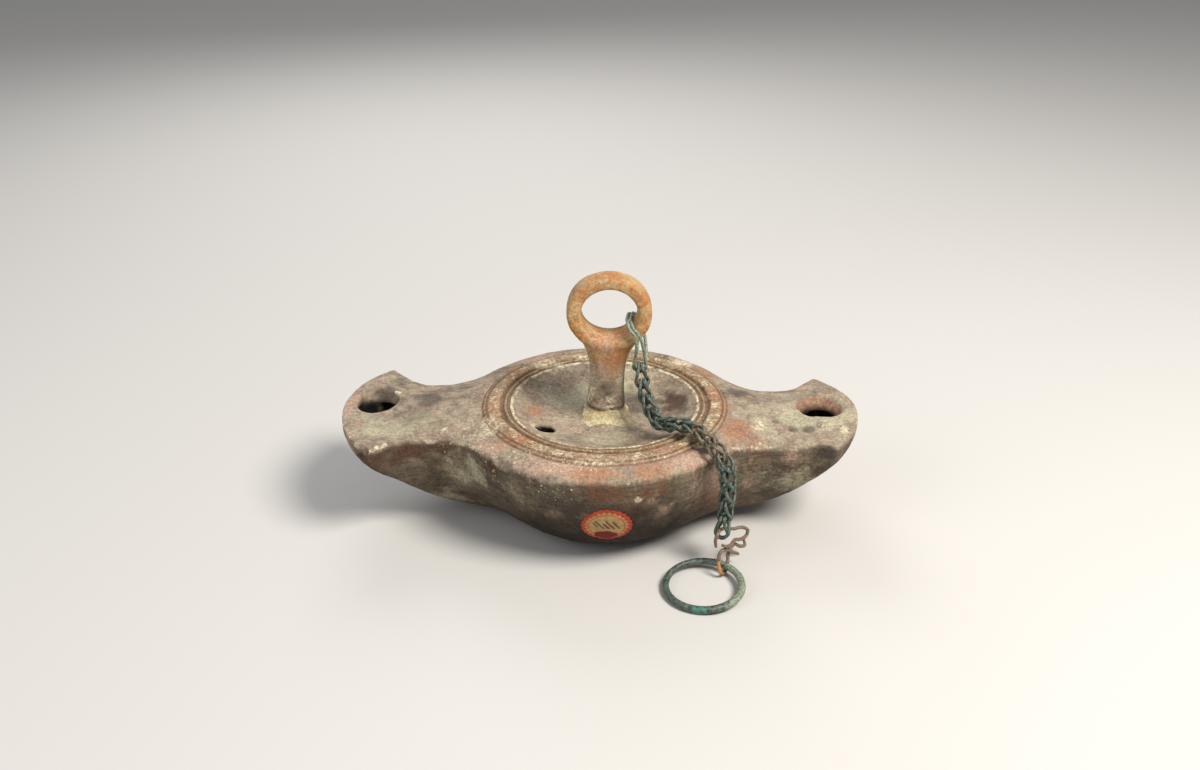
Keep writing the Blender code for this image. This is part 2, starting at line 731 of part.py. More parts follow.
def link_run(pitch):
    """One folded link from its front eye over the fold to its back eye."""
    eye = pitch + CLEARANCE
    overlap = EYE_WIDTH / 2.0 + WIRE + 2.0 * CLEARANCE
    half = [
        (eye, EYE_HALF_GAP, EYE_WIDTH),
        (overlap, FOLD_HALF_SPREAD, 0.5 * (FOLD_SPACING + EYE_WIDTH)),
        (FOLD_RISE, FOLD_HALF_SPREAD, FOLD_SPACING),
        (0.0, 0.5 * FOLD_HALF_SPREAD, FOLD_SPACING),
    ]
    return half + [(along, -out, width) for along, out, width in reversed(half)]


class Route:
    """A smooth route with a facing, so that a link can bend along it."""

    def __init__(self, places, facings):
        self.places = smooth_points(places, ROUTE_STEPS)
        self.facings = smooth_points(facings, ROUTE_STEPS)
        self.reach = [0.0]
        for start, end in zip(self.places, self.places[1:]):
            self.reach.append(self.reach[-1] + (end - start).length)

    def frame(self, distance):
        """Place, direction, facing and side at a distance along the route."""
        last = len(self.places) - 2
        index = min(max(bisect.bisect_right(self.reach, distance) - 1, 0), last)
        start, end = self.places[index], self.places[index + 1]
        down = (end - start).normalized()
        place = start + down * (distance - self.reach[index])
        facing = self.facings[index] - down * self.facings[index].dot(down)
        facing.normalize()
        return place, down, facing, down.cross(facing)

    def point(self, distance, out, across):
        """A point beside the route."""
        place, _, facing, side = self.frame(distance)
        return place + facing * out + side * across


def edge_place(angle, gap, height):
    """A place outside the round body's edge."""
    reach = BODY_RADIUS + gap
    return (reach * math.cos(angle), reach * math.sin(angle), height)


def handle_place(across, back, up):
    """A place given from the centre of the ring handle."""
    return (HANDLE_OFFSET + across, back, HANDLE_CENTRE_HEIGHT + up)


def foot_places(route):
    """Places given from the foot of the chain, on the floor."""
    foot_x, foot_y, _ = edge_place(*FLOOR_ROUTE[-1])
    return [(foot_x + x, foot_y + y, z) for x, y, z in route]


def chain_route():
    """The way the chain hangs, from the ring handle down to the floor."""
    places = [(x, y, RIM_HEIGHT + rise) for x, y, rise in RIM_ROUTE]
    start = handle_place(*CHAIN_START)
    drop = start[2] - places[0][2]
    slack = (*CHAIN_SLACK_PLACE, places[0][2] + CHAIN_SLACK_SHARE * drop)
    places = [start, slack, *places]
    places += [edge_place(angle, gap, BODY_EDGE_HEIGHT + rise)
               for angle, gap, rise in EDGE_ROUTE]
    places += [edge_place(*place) for place in FLOOR_ROUTE]
    return Route(places, CHAIN_FACING)


def chain(metal):
    """The links, each its own piece of wire, as many as the route has room for."""
    route = chain_route()
    run = route.reach[-1] - CHAIN_TAIL
    count = round(run / LINK_LENGTH)
    pitch = run / count
    shape = folded_wire(link_run(pitch))
    for index in range(count):
        points = [route.point(index * pitch + along, out, across)
                  for along, out, across in shape]
        wire(f"chain_link_{index + 1:02d}", points, WIRE, True, metal)


def suspension_loop(metal):
    """The long folded loop that carries the chain on the ring handle."""
    route = chain_route()
    _, down, _, side = route.frame(0.0)
    ribbon = [route.point(CLEARANCE, EYE_HALF_GAP, 0.0),
              *(Vector(handle_place(*place)) for place in LOOP_ROUTE),
              route.point(CLEARANCE, -EYE_HALF_GAP, 0.0)]
    last = len(ribbon) - 1
    run = []
    for index in range(last + 1):
        eye_share = abs(2.0 * index / last - 1.0)**LOOP_EYE_POWER
        run.append((0.0, index, FOLD_SPACING + (EYE_WIDTH - FOLD_SPACING) * eye_share))
    points = [ribbon[index] + down * along + side * across
              for along, index, across in folded_wire(run)]
    wire("suspension_loop", points, WIRE, True, metal)


def loose_wires(metal):
    """The bent last link and the hook that holds the finger ring."""
    for name, route in (("bent_link", BENT_LINK_ROUTE), ("ring_hook", HOOK_ROUTE)):
        wire(name, smooth_points(foot_places(route), LOOSE_WIRE_STEPS), WIRE, False, metal)


def finger_ring(metal):
    """The loose ring, lying almost flat, with one side propped on the hook."""
    low = 0.5 * (FINGER_RING_WIRE + FINGER_RING_SWELL)
    high = 0.5 * (FINGER_RING_WIRE + FINGER_RING_SWELL) + WIRE + 2.0 * CLEARANCE
    (centre_x, centre_y, _), = foot_places([(*FINGER_RING_SHIFT, 0.0)])
    points = []
    swell = []
    for step in range(FINGER_RING_STEPS):
        angle = 2.0 * math.pi * step / FINGER_RING_STEPS
        lift = 0.5 + 0.5 * math.cos(angle - HOOK_SIDE_ANGLE)
        points.append(Vector((centre_x + FINGER_RING_RADIUS * math.cos(angle),
                              centre_y + FINGER_RING_RADIUS * math.sin(angle),
                              low + (high - low) * lift)))
        thick = 0.5 + 0.5 * math.cos(angle - FINGER_RING_SWELL_ANGLE)
        swell.append(1.0 + FINGER_RING_SWELL / FINGER_RING_WIRE * thick)
    wire("finger_ring", points, FINGER_RING_WIRE, True, metal, RING_SIDE_STEPS, swell)


def main():
    """Build the lamp and its chain."""
    clear_scene()
    clay = material("fired_clay", CLAY_COLOUR, 0.92, 0.0)
    bronze = material("corroded_bronze", BRONZE_COLOUR, 0.6, 0.4)
    lamp_body(clay)
    suspension_loop(bronze)
    chain(bronze)
    loose_wires(bronze)
    finger_ring(bronze)


main()
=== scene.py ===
"""Looks of a Roman clay hanging lamp and its bronze chain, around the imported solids.

The clay lamp is drawn again from the same sizes as its solid, finely enough for worn
edges, mouldings, chips and crust. Each bronze wire follows the route of its own solid.
Metres, +Z up, the origin at the centre of the flat base.
"""
import bisect
import math

import bmesh
import bpy
import numpy as np
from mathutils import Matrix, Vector, geometry, noise
from mathutils.bvhtree import BVHTree


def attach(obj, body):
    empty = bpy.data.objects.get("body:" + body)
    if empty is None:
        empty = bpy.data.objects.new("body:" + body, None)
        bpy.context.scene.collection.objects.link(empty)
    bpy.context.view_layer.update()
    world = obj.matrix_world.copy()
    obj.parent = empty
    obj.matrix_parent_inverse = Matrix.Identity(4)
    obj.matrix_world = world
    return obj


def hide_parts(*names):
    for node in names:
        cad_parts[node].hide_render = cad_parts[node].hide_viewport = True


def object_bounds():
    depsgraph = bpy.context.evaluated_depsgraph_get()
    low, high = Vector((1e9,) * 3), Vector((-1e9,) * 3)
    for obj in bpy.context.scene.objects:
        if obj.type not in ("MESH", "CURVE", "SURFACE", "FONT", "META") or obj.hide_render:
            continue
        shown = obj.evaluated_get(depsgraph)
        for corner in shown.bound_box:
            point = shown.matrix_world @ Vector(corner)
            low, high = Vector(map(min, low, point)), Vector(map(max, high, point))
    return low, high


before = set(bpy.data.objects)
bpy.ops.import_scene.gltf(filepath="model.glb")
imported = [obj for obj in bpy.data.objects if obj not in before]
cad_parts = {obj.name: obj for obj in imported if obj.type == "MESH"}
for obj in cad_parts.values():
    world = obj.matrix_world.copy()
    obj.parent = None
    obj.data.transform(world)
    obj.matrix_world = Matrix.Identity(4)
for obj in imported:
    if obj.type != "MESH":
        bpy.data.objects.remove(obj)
cad_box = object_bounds()

# Sizes of the solid
BASE_RADIUS = 0.0240
BODY_RADIUS = 0.0560
BODY_EDGE_HEIGHT = 0.0424
BODY_SHIFT = -0.0012
WALL = 0.0045
NOZZLE_TOP_WALL = 0.0065
DISC_RADIUS = 0.0363
DISC_FLOOR_HEIGHT = 0.0395
DISC_EDGE_HEIGHT = 0.0452
RIM_HEIGHT = 0.0460
RIM_DROP = 0.0009
RIM_CREST_RADIUS = 0.0425
RIM_FALL_RADIUS = 0.0480
SHOULDER_RADIUS = 0.0488
DISC_CURVE_POWER = 4.0
SHOULDER_POWER = 1.7
FILL_HOLE_CENTRE = (-0.0229, -0.0144)
FILL_HOLE_RADIUS = 0.0037
NECK_PULL = 0.0130
CORNER_PULL = 0.0100
LEFT_NOZZLE = {
    "side": -1.0,
    "leave_angles": (math.radians(45.0), math.radians(39.0)),
    "neck": (0.0680, 0.0234),
    "neck_shift": 0.0006,
    "neck_height": 0.0405,
    "corner": (0.0880, 0.0352),
    "corner_height": 0.0428,
    "flare_angle": math.radians(52.0),
    "tip": 0.1028,
    "tip_height": 0.0436,
    "hole_centre": (0.0896, 0.0030),
    "hole_radii": (0.0077, 0.0090),
}
RIGHT_NOZZLE = {
    "side": 1.0,
    "leave_angles": (math.radians(36.0), math.radians(43.0)),
    "neck": (0.0690, 0.0236),
    "neck_shift": -0.0022,
    "neck_height": 0.0390,
    "corner": (0.0868, 0.0290),
    "corner_height": 0.0414,
    "flare_angle": math.radians(40.0),
    "tip": 0.0992,
    "tip_height": 0.0432,
    "hole_centre": (0.0850, 0.0014),
    "hole_radii": (0.0088, 0.0092),
}
NOZZLE_CREST_HEIGHT = 0.0446
SPINDLE_LEAVE_ANGLE = math.radians(60.0)
SPINDLE_CORNER_PULL_IN = 0.0020
SPINDLE_NARROWING = 0.0010
FLARE_FADE_SHARES = (0.35, 0.92)
KEEL_POWER = 1.12
KEEL_FADE_SHARES = (1.05, 1.60)
STALK_SINK = 0.0020
STALK_HEAD_COVER = 0.0020
STALK_RISE_SHARES = (0.037, 0.138, 0.338, 0.554, 0.738, 0.877, 1.0)
STALK_HALF_WIDTHS = (0.0086, 0.0078, 0.0071, 0.0068, 0.0073, 0.0088, 0.0112)
STALK_HALF_DEPTHS = (0.0076, 0.0070, 0.0067, 0.0066, 0.0068, 0.0071, 0.0074)
HANDLE_OFFSET = 0.0017
HANDLE_CENTRE_HEIGHT = 0.0842
HANDLE_OUTER_RADIUS = 0.0163
HANDLE_HOLE_RADIUS = 0.0105
HANDLE_HEIGHT_SHARE = 0.91
HANDLE_HALF_DEPTH_TOP = 0.0053
HANDLE_HALF_DEPTH_FOOT = 0.0076
STALK_SQUARE_POWER = 2.6
HANDLE_SQUARE_POWER = 4.0

# Routes of the bronze wires
WIRE = 0.0012
CLEARANCE = 0.0003
LINK_LENGTH = 0.0062
FOLD_SPACING = 0.0014
EYE_WIDTH = FOLD_SPACING + 2.0 * WIRE + 3.0 * CLEARANCE
EYE_HALF_GAP = WIRE / 2.0 + CLEARANCE / 2.0
FOLD_HALF_SPREAD = EYE_HALF_GAP + WIRE + 2.0 * CLEARANCE
FOLD_RISE = 0.0013
FIRST_SIDE = (0.31, 0.52, 0.80)
CHAIN_TAIL = 0.0085
CHAIN_ROUTE = (
    (0.0134, -0.005, 0.064), (0.0146, -0.0095, 0.0567), (0.0166, -0.0146, 0.0518),
    (0.019, -0.0196, 0.0487), (0.0217, -0.0238, 0.048), (0.025, -0.0268, 0.0499),
    (0.0292, -0.0288, 0.0506), (0.0332, -0.0313, 0.0502), (0.0366, -0.0352, 0.0492),
    (0.0397, -0.0392, 0.0474), (0.0424, -0.0422, 0.0442), (0.0441, -0.0434, 0.04),
    (0.0448, -0.0436, 0.034), (0.0447, -0.044, 0.028), (0.0442, -0.045, 0.022),
    (0.0433, -0.0466, 0.0166), (0.0428, -0.0482, 0.012), (0.0427, -0.049, 0.008),
)
CHAIN_FACING = (
    (0.0, -0.95, 0.3), (0.0, -0.9, 0.4), (-0.2, -0.8, 0.55), (-0.35, -0.7, 0.6),
    (-0.48, -0.6, 0.64), (-0.5, -0.55, 0.67), (-0.5, -0.55, 0.67), (-0.52, -0.55, 0.65),
    (-0.58, -0.58, 0.55), (-0.66, -0.6, 0.4), (-0.74, -0.64, 0.15), (-0.75, -0.66, 0.0),
    (-0.65, -0.76, 0.0), (-0.55, -0.83, 0.0), (-0.45, -0.89, 0.0), (-0.38, -0.92, 0.0),
    (-0.35, -0.94, 0.0), (-0.35, -0.94, 0.0),
)
LOOP_ROUTE = (
    (0.0134, -0.0066, 0.0685), (0.0132, -0.008, 0.072), (0.0126, -0.009, 0.0758),
    (0.0114, -0.0089, 0.0786), (0.0101, -0.0078, 0.0797), (0.0095, -0.004, 0.0801),
    (0.0091, 0.0, 0.0802), (0.0095, 0.004, 0.0801), (0.0101, 0.0078, 0.0796),
    (0.0115, 0.0088, 0.0782), (0.013, 0.0085, 0.075), (0.014, 0.0068, 0.0713),
    (0.0142, 0.001, 0.068),
)
BENT_LINK_ROUTE = (
    (0.0407, -0.0512, 0.012), (0.0404, -0.0514, 0.015), (0.0412, -0.0505, 0.0172),
    (0.0426, -0.0475, 0.0172), (0.045, -0.0437, 0.0152), (0.0481, -0.0418, 0.0137),
    (0.0501, -0.0408, 0.0136), (0.0522, -0.04, 0.013), (0.0537, -0.0395, 0.0115),
    (0.0532, -0.04, 0.0096), (0.0518, -0.0412, 0.009), (0.0499, -0.043, 0.0097),
    (0.0482, -0.0455, 0.0112), (0.0466, -0.048, 0.0108), (0.0447, -0.0498, 0.0112),
    (0.043, -0.0512, 0.0128),
)
HOOK_ROUTE = (
    (0.05, -0.045, 0.0046), (0.0475, -0.0465, 0.0066), (0.0452, -0.0485, 0.0088),
    (0.0433, -0.0505, 0.01), (0.042, -0.0518, 0.0088), (0.0418, -0.053, 0.006),
    (0.0424, -0.054, 0.003), (0.0436, -0.0528, 0.001), (0.045, -0.05, 0.0009),
    (0.0457, -0.048, 0.0026), (0.0462, -0.0455, 0.006), (0.0485, -0.0425, 0.0072),
    (0.0508, -0.0412, 0.0055), (0.0528, -0.0402, 0.0052), (0.0524, -0.0394, 0.0075),
)
FINGER_RING_CENTRE = (0.0358, -0.0613)
FINGER_RING_RADIUS = 0.0138
FINGER_RING_WIRE = 0.0025
FINGER_RING_SWELL = 0.0005
FINGER_RING_SWELL_ANGLE = math.radians(-50.0)
HOOK_SIDE_ANGLE = math.radians(50.0)

# The paper label: places and strokes as shares of its radius, lifts off the clay
LABEL_CENTRE = (0.0006, -0.0516, 0.0212)
LABEL_RADIUS = 0.0093
LABEL_LIFTS = (0.00016, 0.00005)
LABEL_RINGS = 34
LABEL_TURNS = 144
LABEL_TEETH = 24.0
LABEL_STROKES = (
    (-0.50, -0.12, -0.26, 0.30), (-0.30, -0.14, 0.02, 0.36), (-0.08, -0.12, 0.14, 0.22),
    (0.12, -0.12, 0.44, 0.34), (0.36, -0.04, 0.52, 0.20),
)

# Looks that the solid leaves out. Lengths in metres, patches in millimetres.
OUTLINE_ARC_STEPS = 110
OUTLINE_STEPS = (36, 26, 44)
SIDE_ROWS = 58
BASE_RING_SHARES = (1.0, 0.9, 0.6, 0.3)
CHAMBER_ARC_STEPS = 24
CHAMBER_STEPS = (8, 6, 10)
CHAMBER_ROWS = 12
CEILING_SPACING = 0.0030
HOLE_STEPS = 30
HOLE_ROWS = 9
STALK_TURNS = 72
RING_STEPS = 132
RING_TURNS = 40
LINK_RADIUS = 0.53 * WIRE
LOOSE_WIRE_RADIUS = 0.55 * WIRE
SKIN_WAVE = 0.00030
SKIN_LUMP = 0.00012
CRUST = 0.00018
WHEEL_MARK = 0.00004
WHEEL_MARK_SPACING = 0.0021
SKIN_SINK = 0.00016
GROOVES = (
    # radius, half width, depth
    (0.0377, 0.0010, 0.0015),
    (0.0402, 0.0012, 0.0019),
    (0.0462, 0.0007, 0.0004),
    (0.0480, 0.0009, 0.0010),
)
PLASTER_HEIGHT = 0.0040
PLASTER_REACH = 0.0011
CRACK_HEIGHT = 0.0446
LEFT_LEDGE_REACH = 0.0036
LEFT_LEDGE_SPREAD = 0.25
LEFT_HOLE_WIDENING = 1.04
RIGHT_FUNNEL = 0.09
RIGHT_HOLE_NARROWING = 0.72
RIGHT_HOLE_SHIFT = (-0.0006, -0.0014)
MESH_SPACING = 0.00082
LAMP_REACH = 0.11
CHIPS = (
    # centre, outward direction, how deep it cuts, radius
    ((-0.0893, -0.0330, 0.0415), (-0.55, -0.75, 0.35), 0.0012, 0.0042),
    ((-0.0868, 0.0352, 0.0428), (0.10, 0.75, 0.65), 0.0014, 0.0052),
    ((-0.0925, 0.0310, 0.0430), (-0.50, 0.60, 0.62), 0.0008, 0.0040),
    ((-0.0625, -0.0236, 0.0403), (0.0, -0.75, 0.66), 0.0009, 0.0040),
    ((-0.0720, -0.0243, 0.0405), (0.10, -0.70, 0.70), 0.0006, 0.0050),
    ((0.0860, -0.0290, 0.0412), (0.30, -0.75, 0.58), 0.0008, 0.0036),
    ((0.0872, 0.0287, 0.0412), (0.30, 0.75, 0.58), 0.0009, 0.0036),
    ((-0.0370, -0.0415, 0.0424), (-0.60, -0.60, 0.50), 0.0005, 0.0040),
    ((-0.0210, -0.0515, 0.0424), (-0.35, -0.80, 0.45), 0.0004, 0.0030),
)
PITS = (
    # centre, radius, depth
    ((0.0213, 0.0305, 0.0450), 0.0008, 0.0007),
    ((0.0249, 0.0300, 0.0450), 0.0007, 0.0005),
    ((0.0388, 0.0112, 0.0455), 0.0009, 0.0009),
    ((0.0393, 0.0080, 0.0455), 0.0007, 0.0007),
    ((0.0407, 0.0, 0.0455), 0.0008, 0.0008),
    ((-0.0300, 0.0270, 0.0450), 0.0008, 0.0005),
    ((-0.0390, -0.0130, 0.0455), 0.0009, 0.0006),
    ((-0.0915, -0.0320, 0.0395), 0.0016, 0.0014),
)
PATCHES = {
    # centre x, y, z, radii x, y, z, strength
    "ash": (
        (-87, -18, 43, 12, 9, 4, 0.9), (-78, -14, 42, 11, 8, 4, 0.8),
        (-71, -9, 43, 9, 8, 4, 0.7), (61, -15, 43, 8, 9, 4, 0.9), (87, -11, 43, 11, 10, 4, 1),
        (74, -9, 42, 14, 10, 4, 0.9), (96, -8, 40, 6, 18, 7, 0.8),
        (-49, -29, 31, 9, 8, 11, 0.8), (-56, -25, 27, 9, 8, 9, 0.8),
        (-13, 12, 40, 17, 13, 3, 0.9), (4, 22, 40, 22, 9, 4, 0.8),
        (60, -27, 27, 15, 8, 10, 0.4), (-5, -5, 60, 4, 7, 13, 0.9), (7, -4, 56, 3, 6, 9, 0.8),
        (70, 14, 42, 15, 9, 4, 0.6), (-92, -8, 43, 7, 11, 4, 0.6), (48, -36, 34, 6, 6, 8, 0.8),
        (0, -21, 40, 16, 9, 3, 0.7), (72, -22, 24, 20, 9, 9, 0.7),
        (-34, -44, 27, 13, 8, 10, 0.6),
    ),
    # Soot patches: the one at (32, 3, 42) is painted shade on the disc's right wall, those at (20,
    # -12, 40) and (22, -16, 41) are the chain's painted shadow on the disc, and those centred low
    # on the bowl's front, at y about -50 and z from 12 to 30, are painted shade.
    "soot_and_shade": (
        (-88, 15, 41, 8, 6, 5, 1), (-80, 21, 43, 12, 8, 4, 0.7), (-62, 16, 43, 16, 7, 4, 0.7),
        (71, -16, 42, 3.5, 3, 2, 1), (78, -16, 42, 4, 3, 2, 1), (66, -11, 42, 3.5, 3, 2, 0.9),
        (83, -14, 42, 3, 2.5, 2, 0.8), (84, -27, 38, 9, 5, 4, 0.9), (55, 8, 44, 12, 10, 4, 0.7),
        (-14, -25, 40, 12, 8, 3, 0.6), (-1, -8, 53, 7, 3, 6, 1), (66, -26, 36, 9, 4, 3, 0.8),
        (32, 3, 42, 9, 14, 4, 1), (-70, 8, 43, 12, 7, 3, 0.8), (54, 9, 44, 12, 9, 3, 0.9),
        (-66, 5, 43, 12, 9, 3, 0.9), (20, -12, 40, 9, 8, 3, 0.5), (22, -16, 41, 4, 2.2, 2, 1),
        (-20, -54, 38, 14, 6, 4, 0.7), (-76, -20, 30, 16, 12, 9, 0.7),
        (-2, -50, 20, 26, 14, 12, 0.8), (30, -46, 22, 16, 12, 12, 0.6),
        (-30, 0, 40, 5, 14, 3, 0.4), (14, 9, 40, 17, 14, 3, 1), (-78, -6, 43, 20, 14, 4, 0.60),
        (-6, -47, 12, 26, 12, 10, 0.9), (-44, 12, 46, 5, 16, 3, 0.5),
        (70, -14, 22, 28, 14, 9, 0.4), (-13, -52, 30, 15, 8, 9, 1),
        (14, -51, 24, 14, 8, 8, 0.7),
    ),
    "pink": (
        (-101, 4, 42, 6, 17, 7, 0.9), (-47, -31, 43, 14, 9, 4, 0.9), (31, -43, 44, 16, 9, 4, 1),
        (-20, -48, 44, 20, 9, 4, 0.9), (-1, -5, 73, 10, 7, 7, 0.8),
        (-30, 42, 45, 18, 10, 4, 0.7), (-44, 8, 45, 7, 24, 3, 0.6),
        (40, -40, 30, 14, 11, 16, 0.8), (-95, -20, 40, 7, 10, 5, 0.7),
        (98, 4, 40, 6, 16, 6, 0.5), (8, -48, 45, 22, 8, 3, 0.7), (-68, -2, 43, 12, 9, 3, 0.5),
    ),
    "red": (
        (50, -21, 44, 11, 12, 6, 1), (47, -5, 46, 5, 17, 3, 1), (40, 27, 45, 11, 11, 3, 0.9),
        (41, -34, 20, 8, 8, 13, 0.8), (58, -27, 34, 7, 4, 6, 0.5), (-2, -53, 44, 14, 6, 3, 1),
        (17, -50, 44, 15, 6, 3, 0.9), (0, -56, 38, 14, 5, 6, 0.9), (16, -53, 36, 15, 5, 6, 0.8),
        (-35, 25, 46, 8, 12, 3, 0.8), (-33, -30, 46, 12, 7, 3, 1), (-28, 0, 41, 8, 8, 4, 0.8),
        (3, -6, 66, 8, 4, 9, 0.9), (44, 6, 46, 4, 12, 3, 0.9), (-44, -8, 46, 4, 16, 3, 0.7),
        (24, -36, 46, 12, 5, 3, 0.7),
    ),
    "rust": (
        (-85, -33, 38, 11, 6, 5, 1), (-74, -24, 35, 12, 6, 5, 1), (-62, -24, 38, 9, 4, 4, 1),
        (-41, -38, 37, 9, 6, 5, 0.8), (-66, -26, 30, 9, 7, 6, 0.6),
        (-89, -31, 36, 6, 6, 6, 0.9), (24, -53, 34, 12, 5, 7, 0.5),
        (-10, -54, 30, 12, 6, 6, 0.5), (4, -52, 27, 18, 8, 6, 0.8), (30, 6, 41, 9, 9, 3, 0.9),
    ),
    # The long thin cream patches along the near edges of both necks, at x -56, -49, 50 and 60, and
    # along the right tip's edge at x 99 are painted highlights.
    "cream": (
        (-56, -25.5, 40.8, 7, 2.4, 1.8, 1), (-49, -31, 42.5, 7, 2.4, 1.6, 1),
        (50, -30, 41, 7, 3.0, 2.2, 0.6), (60, -26.5, 40, 8, 2.6, 2.2, 0.55),
        (32, 37, 45, 9, 8, 3, 0.9), (12, -54, 34, 2.6, 2, 2.4, 1),
        (-61, -17, 42.4, 2.6, 2.4, 2, 1), (-83, 13, 43, 3, 2.4, 2, 0.9),
        (60, -15, 43, 5, 7, 3, 0.7), (0, 40, 46, 18, 5, 3, 0.8), (-26, 34, 46, 12, 8, 3, 0.7),
        (-90, -33, 43, 3, 2, 1.4, 0.9), (99, -6, 42, 1.8, 16, 2, 0.8),
        (91, -17, 42.6, 4, 4, 2, 0.9), (-8, -6, 57, 6, 7, 15, 1), (2, -6, 46, 9, 4, 2.5, 0.8),
        (-46, -26, 44, 9, 7, 3, 0.7), (-44, -18, 45, 6, 12, 3, 0.6), (1, -6, 49, 8, 3, 4, 0.6),
        (0, -46, 45, 26, 4, 2, 0.5), (86, -16, 43, 6, 6, 3, 0.6),
    ),
    "speck": (
        (-16, -46, 45, 16, 8, 3, 1), (-28, -41, 45, 11, 8, 3, 1),
        (-51, -20, 43.5, 10, 12, 3, 0.9), (-45, -36, 42, 10, 8, 6, 0.9),
        (-42, -38, 34, 10, 8, 8, 0.7), (-22, -52, 36, 18, 8, 7, 0.6),
        (10, -42, 46, 24, 5, 2, 0.7), (-60, -20, 38, 12, 9, 8, 0.5),
    ),
}


def fade(value, low, high):
    """0 below low, 1 above high and smooth between."""
    share = np.clip((value - low) / (high - low), 0.0, 1.0)
    return share * share * (3.0 - 2.0 * share)


def plan_radius(points):
    """Distance of points from the lamp's axis."""
    return np.linalg.norm(points[:, :2], axis=1)


def band(radius, middle, full, gone):
    """1 near a circle round the axis, fading to 0."""
    return 1.0 - fade(np.abs(radius - middle), full, gone)


def fractal(points, size, octaves=3, shift=0.0):
    """Smooth noise about 0 at each point, with features of a size in metres."""
    result = np.empty(len(points))
    for index, (x, y, z) in enumerate(points / size + shift):
        result[index] = noise.fractal((x, y, z), 1.0, 2.1, octaves)
    return result


def bezier(start, start_pull, end_pull, end, steps):
    """Points of a cubic curve, without the last one."""
    share = np.linspace(0.0, 1.0, steps, endpoint=False)[:, None]
    rest = 1.0 - share
    return (rest**3 * start + 3.0 * rest**2 * share * start_pull
            + 3.0 * rest * share**2 * end_pull + share**3 * end)


def nozzle_side(nozzle, half, flared, steps):
    """Outline of one half of a nozzle as x, y and edge height, from the body to the tip."""
    neck_steps, flare_steps, tip_steps = steps
    leave_angle = nozzle["leave_angles"][half]
    centre_x = nozzle["side"] * BODY_SHIFT
    neck = np.array(nozzle["neck"])
    neck[1] += nozzle["neck_shift"] * (1.0 - 2.0 * half)
    corner = np.array(nozzle["corner"])
    flare = nozzle["flare_angle"]
    if not flared:
        leave_angle = SPINDLE_LEAVE_ANGLE
        centre_x = 0.0
        neck[1] -= SPINDLE_NARROWING
        corner = np.array([corner[0] - SPINDLE_CORNER_PULL_IN, neck[1]])
        flare = 0.0
    leave = BODY_RADIUS * np.array([math.cos(leave_angle), math.sin(leave_angle)])
    leave += (centre_x, 0.0)
    leave_direction = np.array([math.sin(leave_angle), -math.cos(leave_angle)])
    flare_direction = np.array([math.cos(flare), math.sin(flare)])
    along = np.array([1.0, 0.0])
    first = bezier(leave, leave + leave_direction * NECK_PULL,
                   neck - along * NECK_PULL, neck, neck_steps)
    second = bezier(neck, neck + along * CORNER_PULL,
                    corner - flare_direction * CORNER_PULL, corner, flare_steps)
    tip = nozzle["tip"]
    centre = (tip**2 - corner @ corner) / (2.0 * (tip - corner[0]))
    radius = tip - centre
    corner_angle = math.atan2(corner[1], corner[0] - centre)
    angles = corner_angle * np.linspace(1.0, 0.0, tip_steps + 1)
    third = np.column_stack([centre + radius * np.cos(angles), radius * np.sin(angles)])
    outline = np.vstack([first, second, third])
    shares = np.concatenate([np.linspace(0.0, 1.0, neck_steps, endpoint=False),
                             np.linspace(1.0, 2.0, flare_steps, endpoint=False),
                             np.linspace(2.0, 3.0, tip_steps + 1)])
    stops = (BODY_EDGE_HEIGHT, nozzle["neck_height"],
             nozzle["corner_height"], nozzle["tip_height"])
    heights = sum((high - low) * fade(shares, index, index + 1)
                  for index, (low, high) in enumerate(zip(stops, stops[1:])))
    return np.column_stack([outline, heights + BODY_EDGE_HEIGHT])


def half_outline(half, flared, arc_steps, steps):
    """Outline of the far or near half, from the right tip to the left tip."""
    right = nozzle_side(RIGHT_NOZZLE, half, flared, steps)
    left = nozzle_side(LEFT_NOZZLE, half, flared, steps) * (-1.0, 1.0, 1.0)
    centre_x = BODY_SHIFT if flared else 0.0
    start = math.atan2(right[0, 1], right[0, 0] - centre_x)
    end = math.atan2(left[0, 1], left[0, 0] - centre_x)
    angles = np.linspace(start, end, arc_steps + 1)[1:-1]
    arc = np.column_stack([centre_x + BODY_RADIUS * np.cos(angles),
                           BODY_RADIUS * np.sin(angles),
                           np.full(len(angles), BODY_EDGE_HEIGHT)])
    return np.vstack([right[::-1], arc, left])


def plan_outline(flared, arc_steps, steps):
    """Outline of the whole lamp from above, anticlockwise, as x, y and edge height."""
    far = half_outline(0, flared, arc_steps, steps)
    near = half_outline(1, flared, arc_steps, steps) * (1.0, -1.0, 1.0)
    return np.vstack([far, near[::-1][1:-1]])


def inset(outline, distance):
    """The outline moved inwards by a distance."""
    along = np.roll(outline, -1, axis=0)[:, :2] - np.roll(outline, 1, axis=0)[:, :2]
    along /= np.linalg.norm(along, axis=1)[:, None]
    result = outline.copy()
    result[:, :2] += np.column_stack([-along[:, 1], along[:, 0]]) * distance
    return result


def hull_rows(top, spindle, base_radius, base_height, row_count):
    """Rows of points from the upper edge down to the round base."""
    reach = np.linalg.norm(spindle[:, :2], axis=1)[:, None]
    base = spindle[:, :2] / reach * base_radius
    power = 1.0 + (KEEL_POWER - 1.0) * fade(reach / BODY_RADIUS, *KEEL_FADE_SHARES)
    rows = []
    for step in range(row_count + 1):
        angle = 0.5 * math.pi * step / row_count
        height_share = 1.0 - math.sin(angle)
        out_share = math.cos(angle)**power
        flare_share = fade(height_share, *FLARE_FADE_SHARES)
        outer = spindle[:, :2] + (top[:, :2] - spindle[:, :2]) * flare_share
        plan = base + (outer - base) * out_share
        height = base_height + (top[:, 2] - base_height) * height_share
        rows.append(np.column_stack([plan, height]))
    return rows


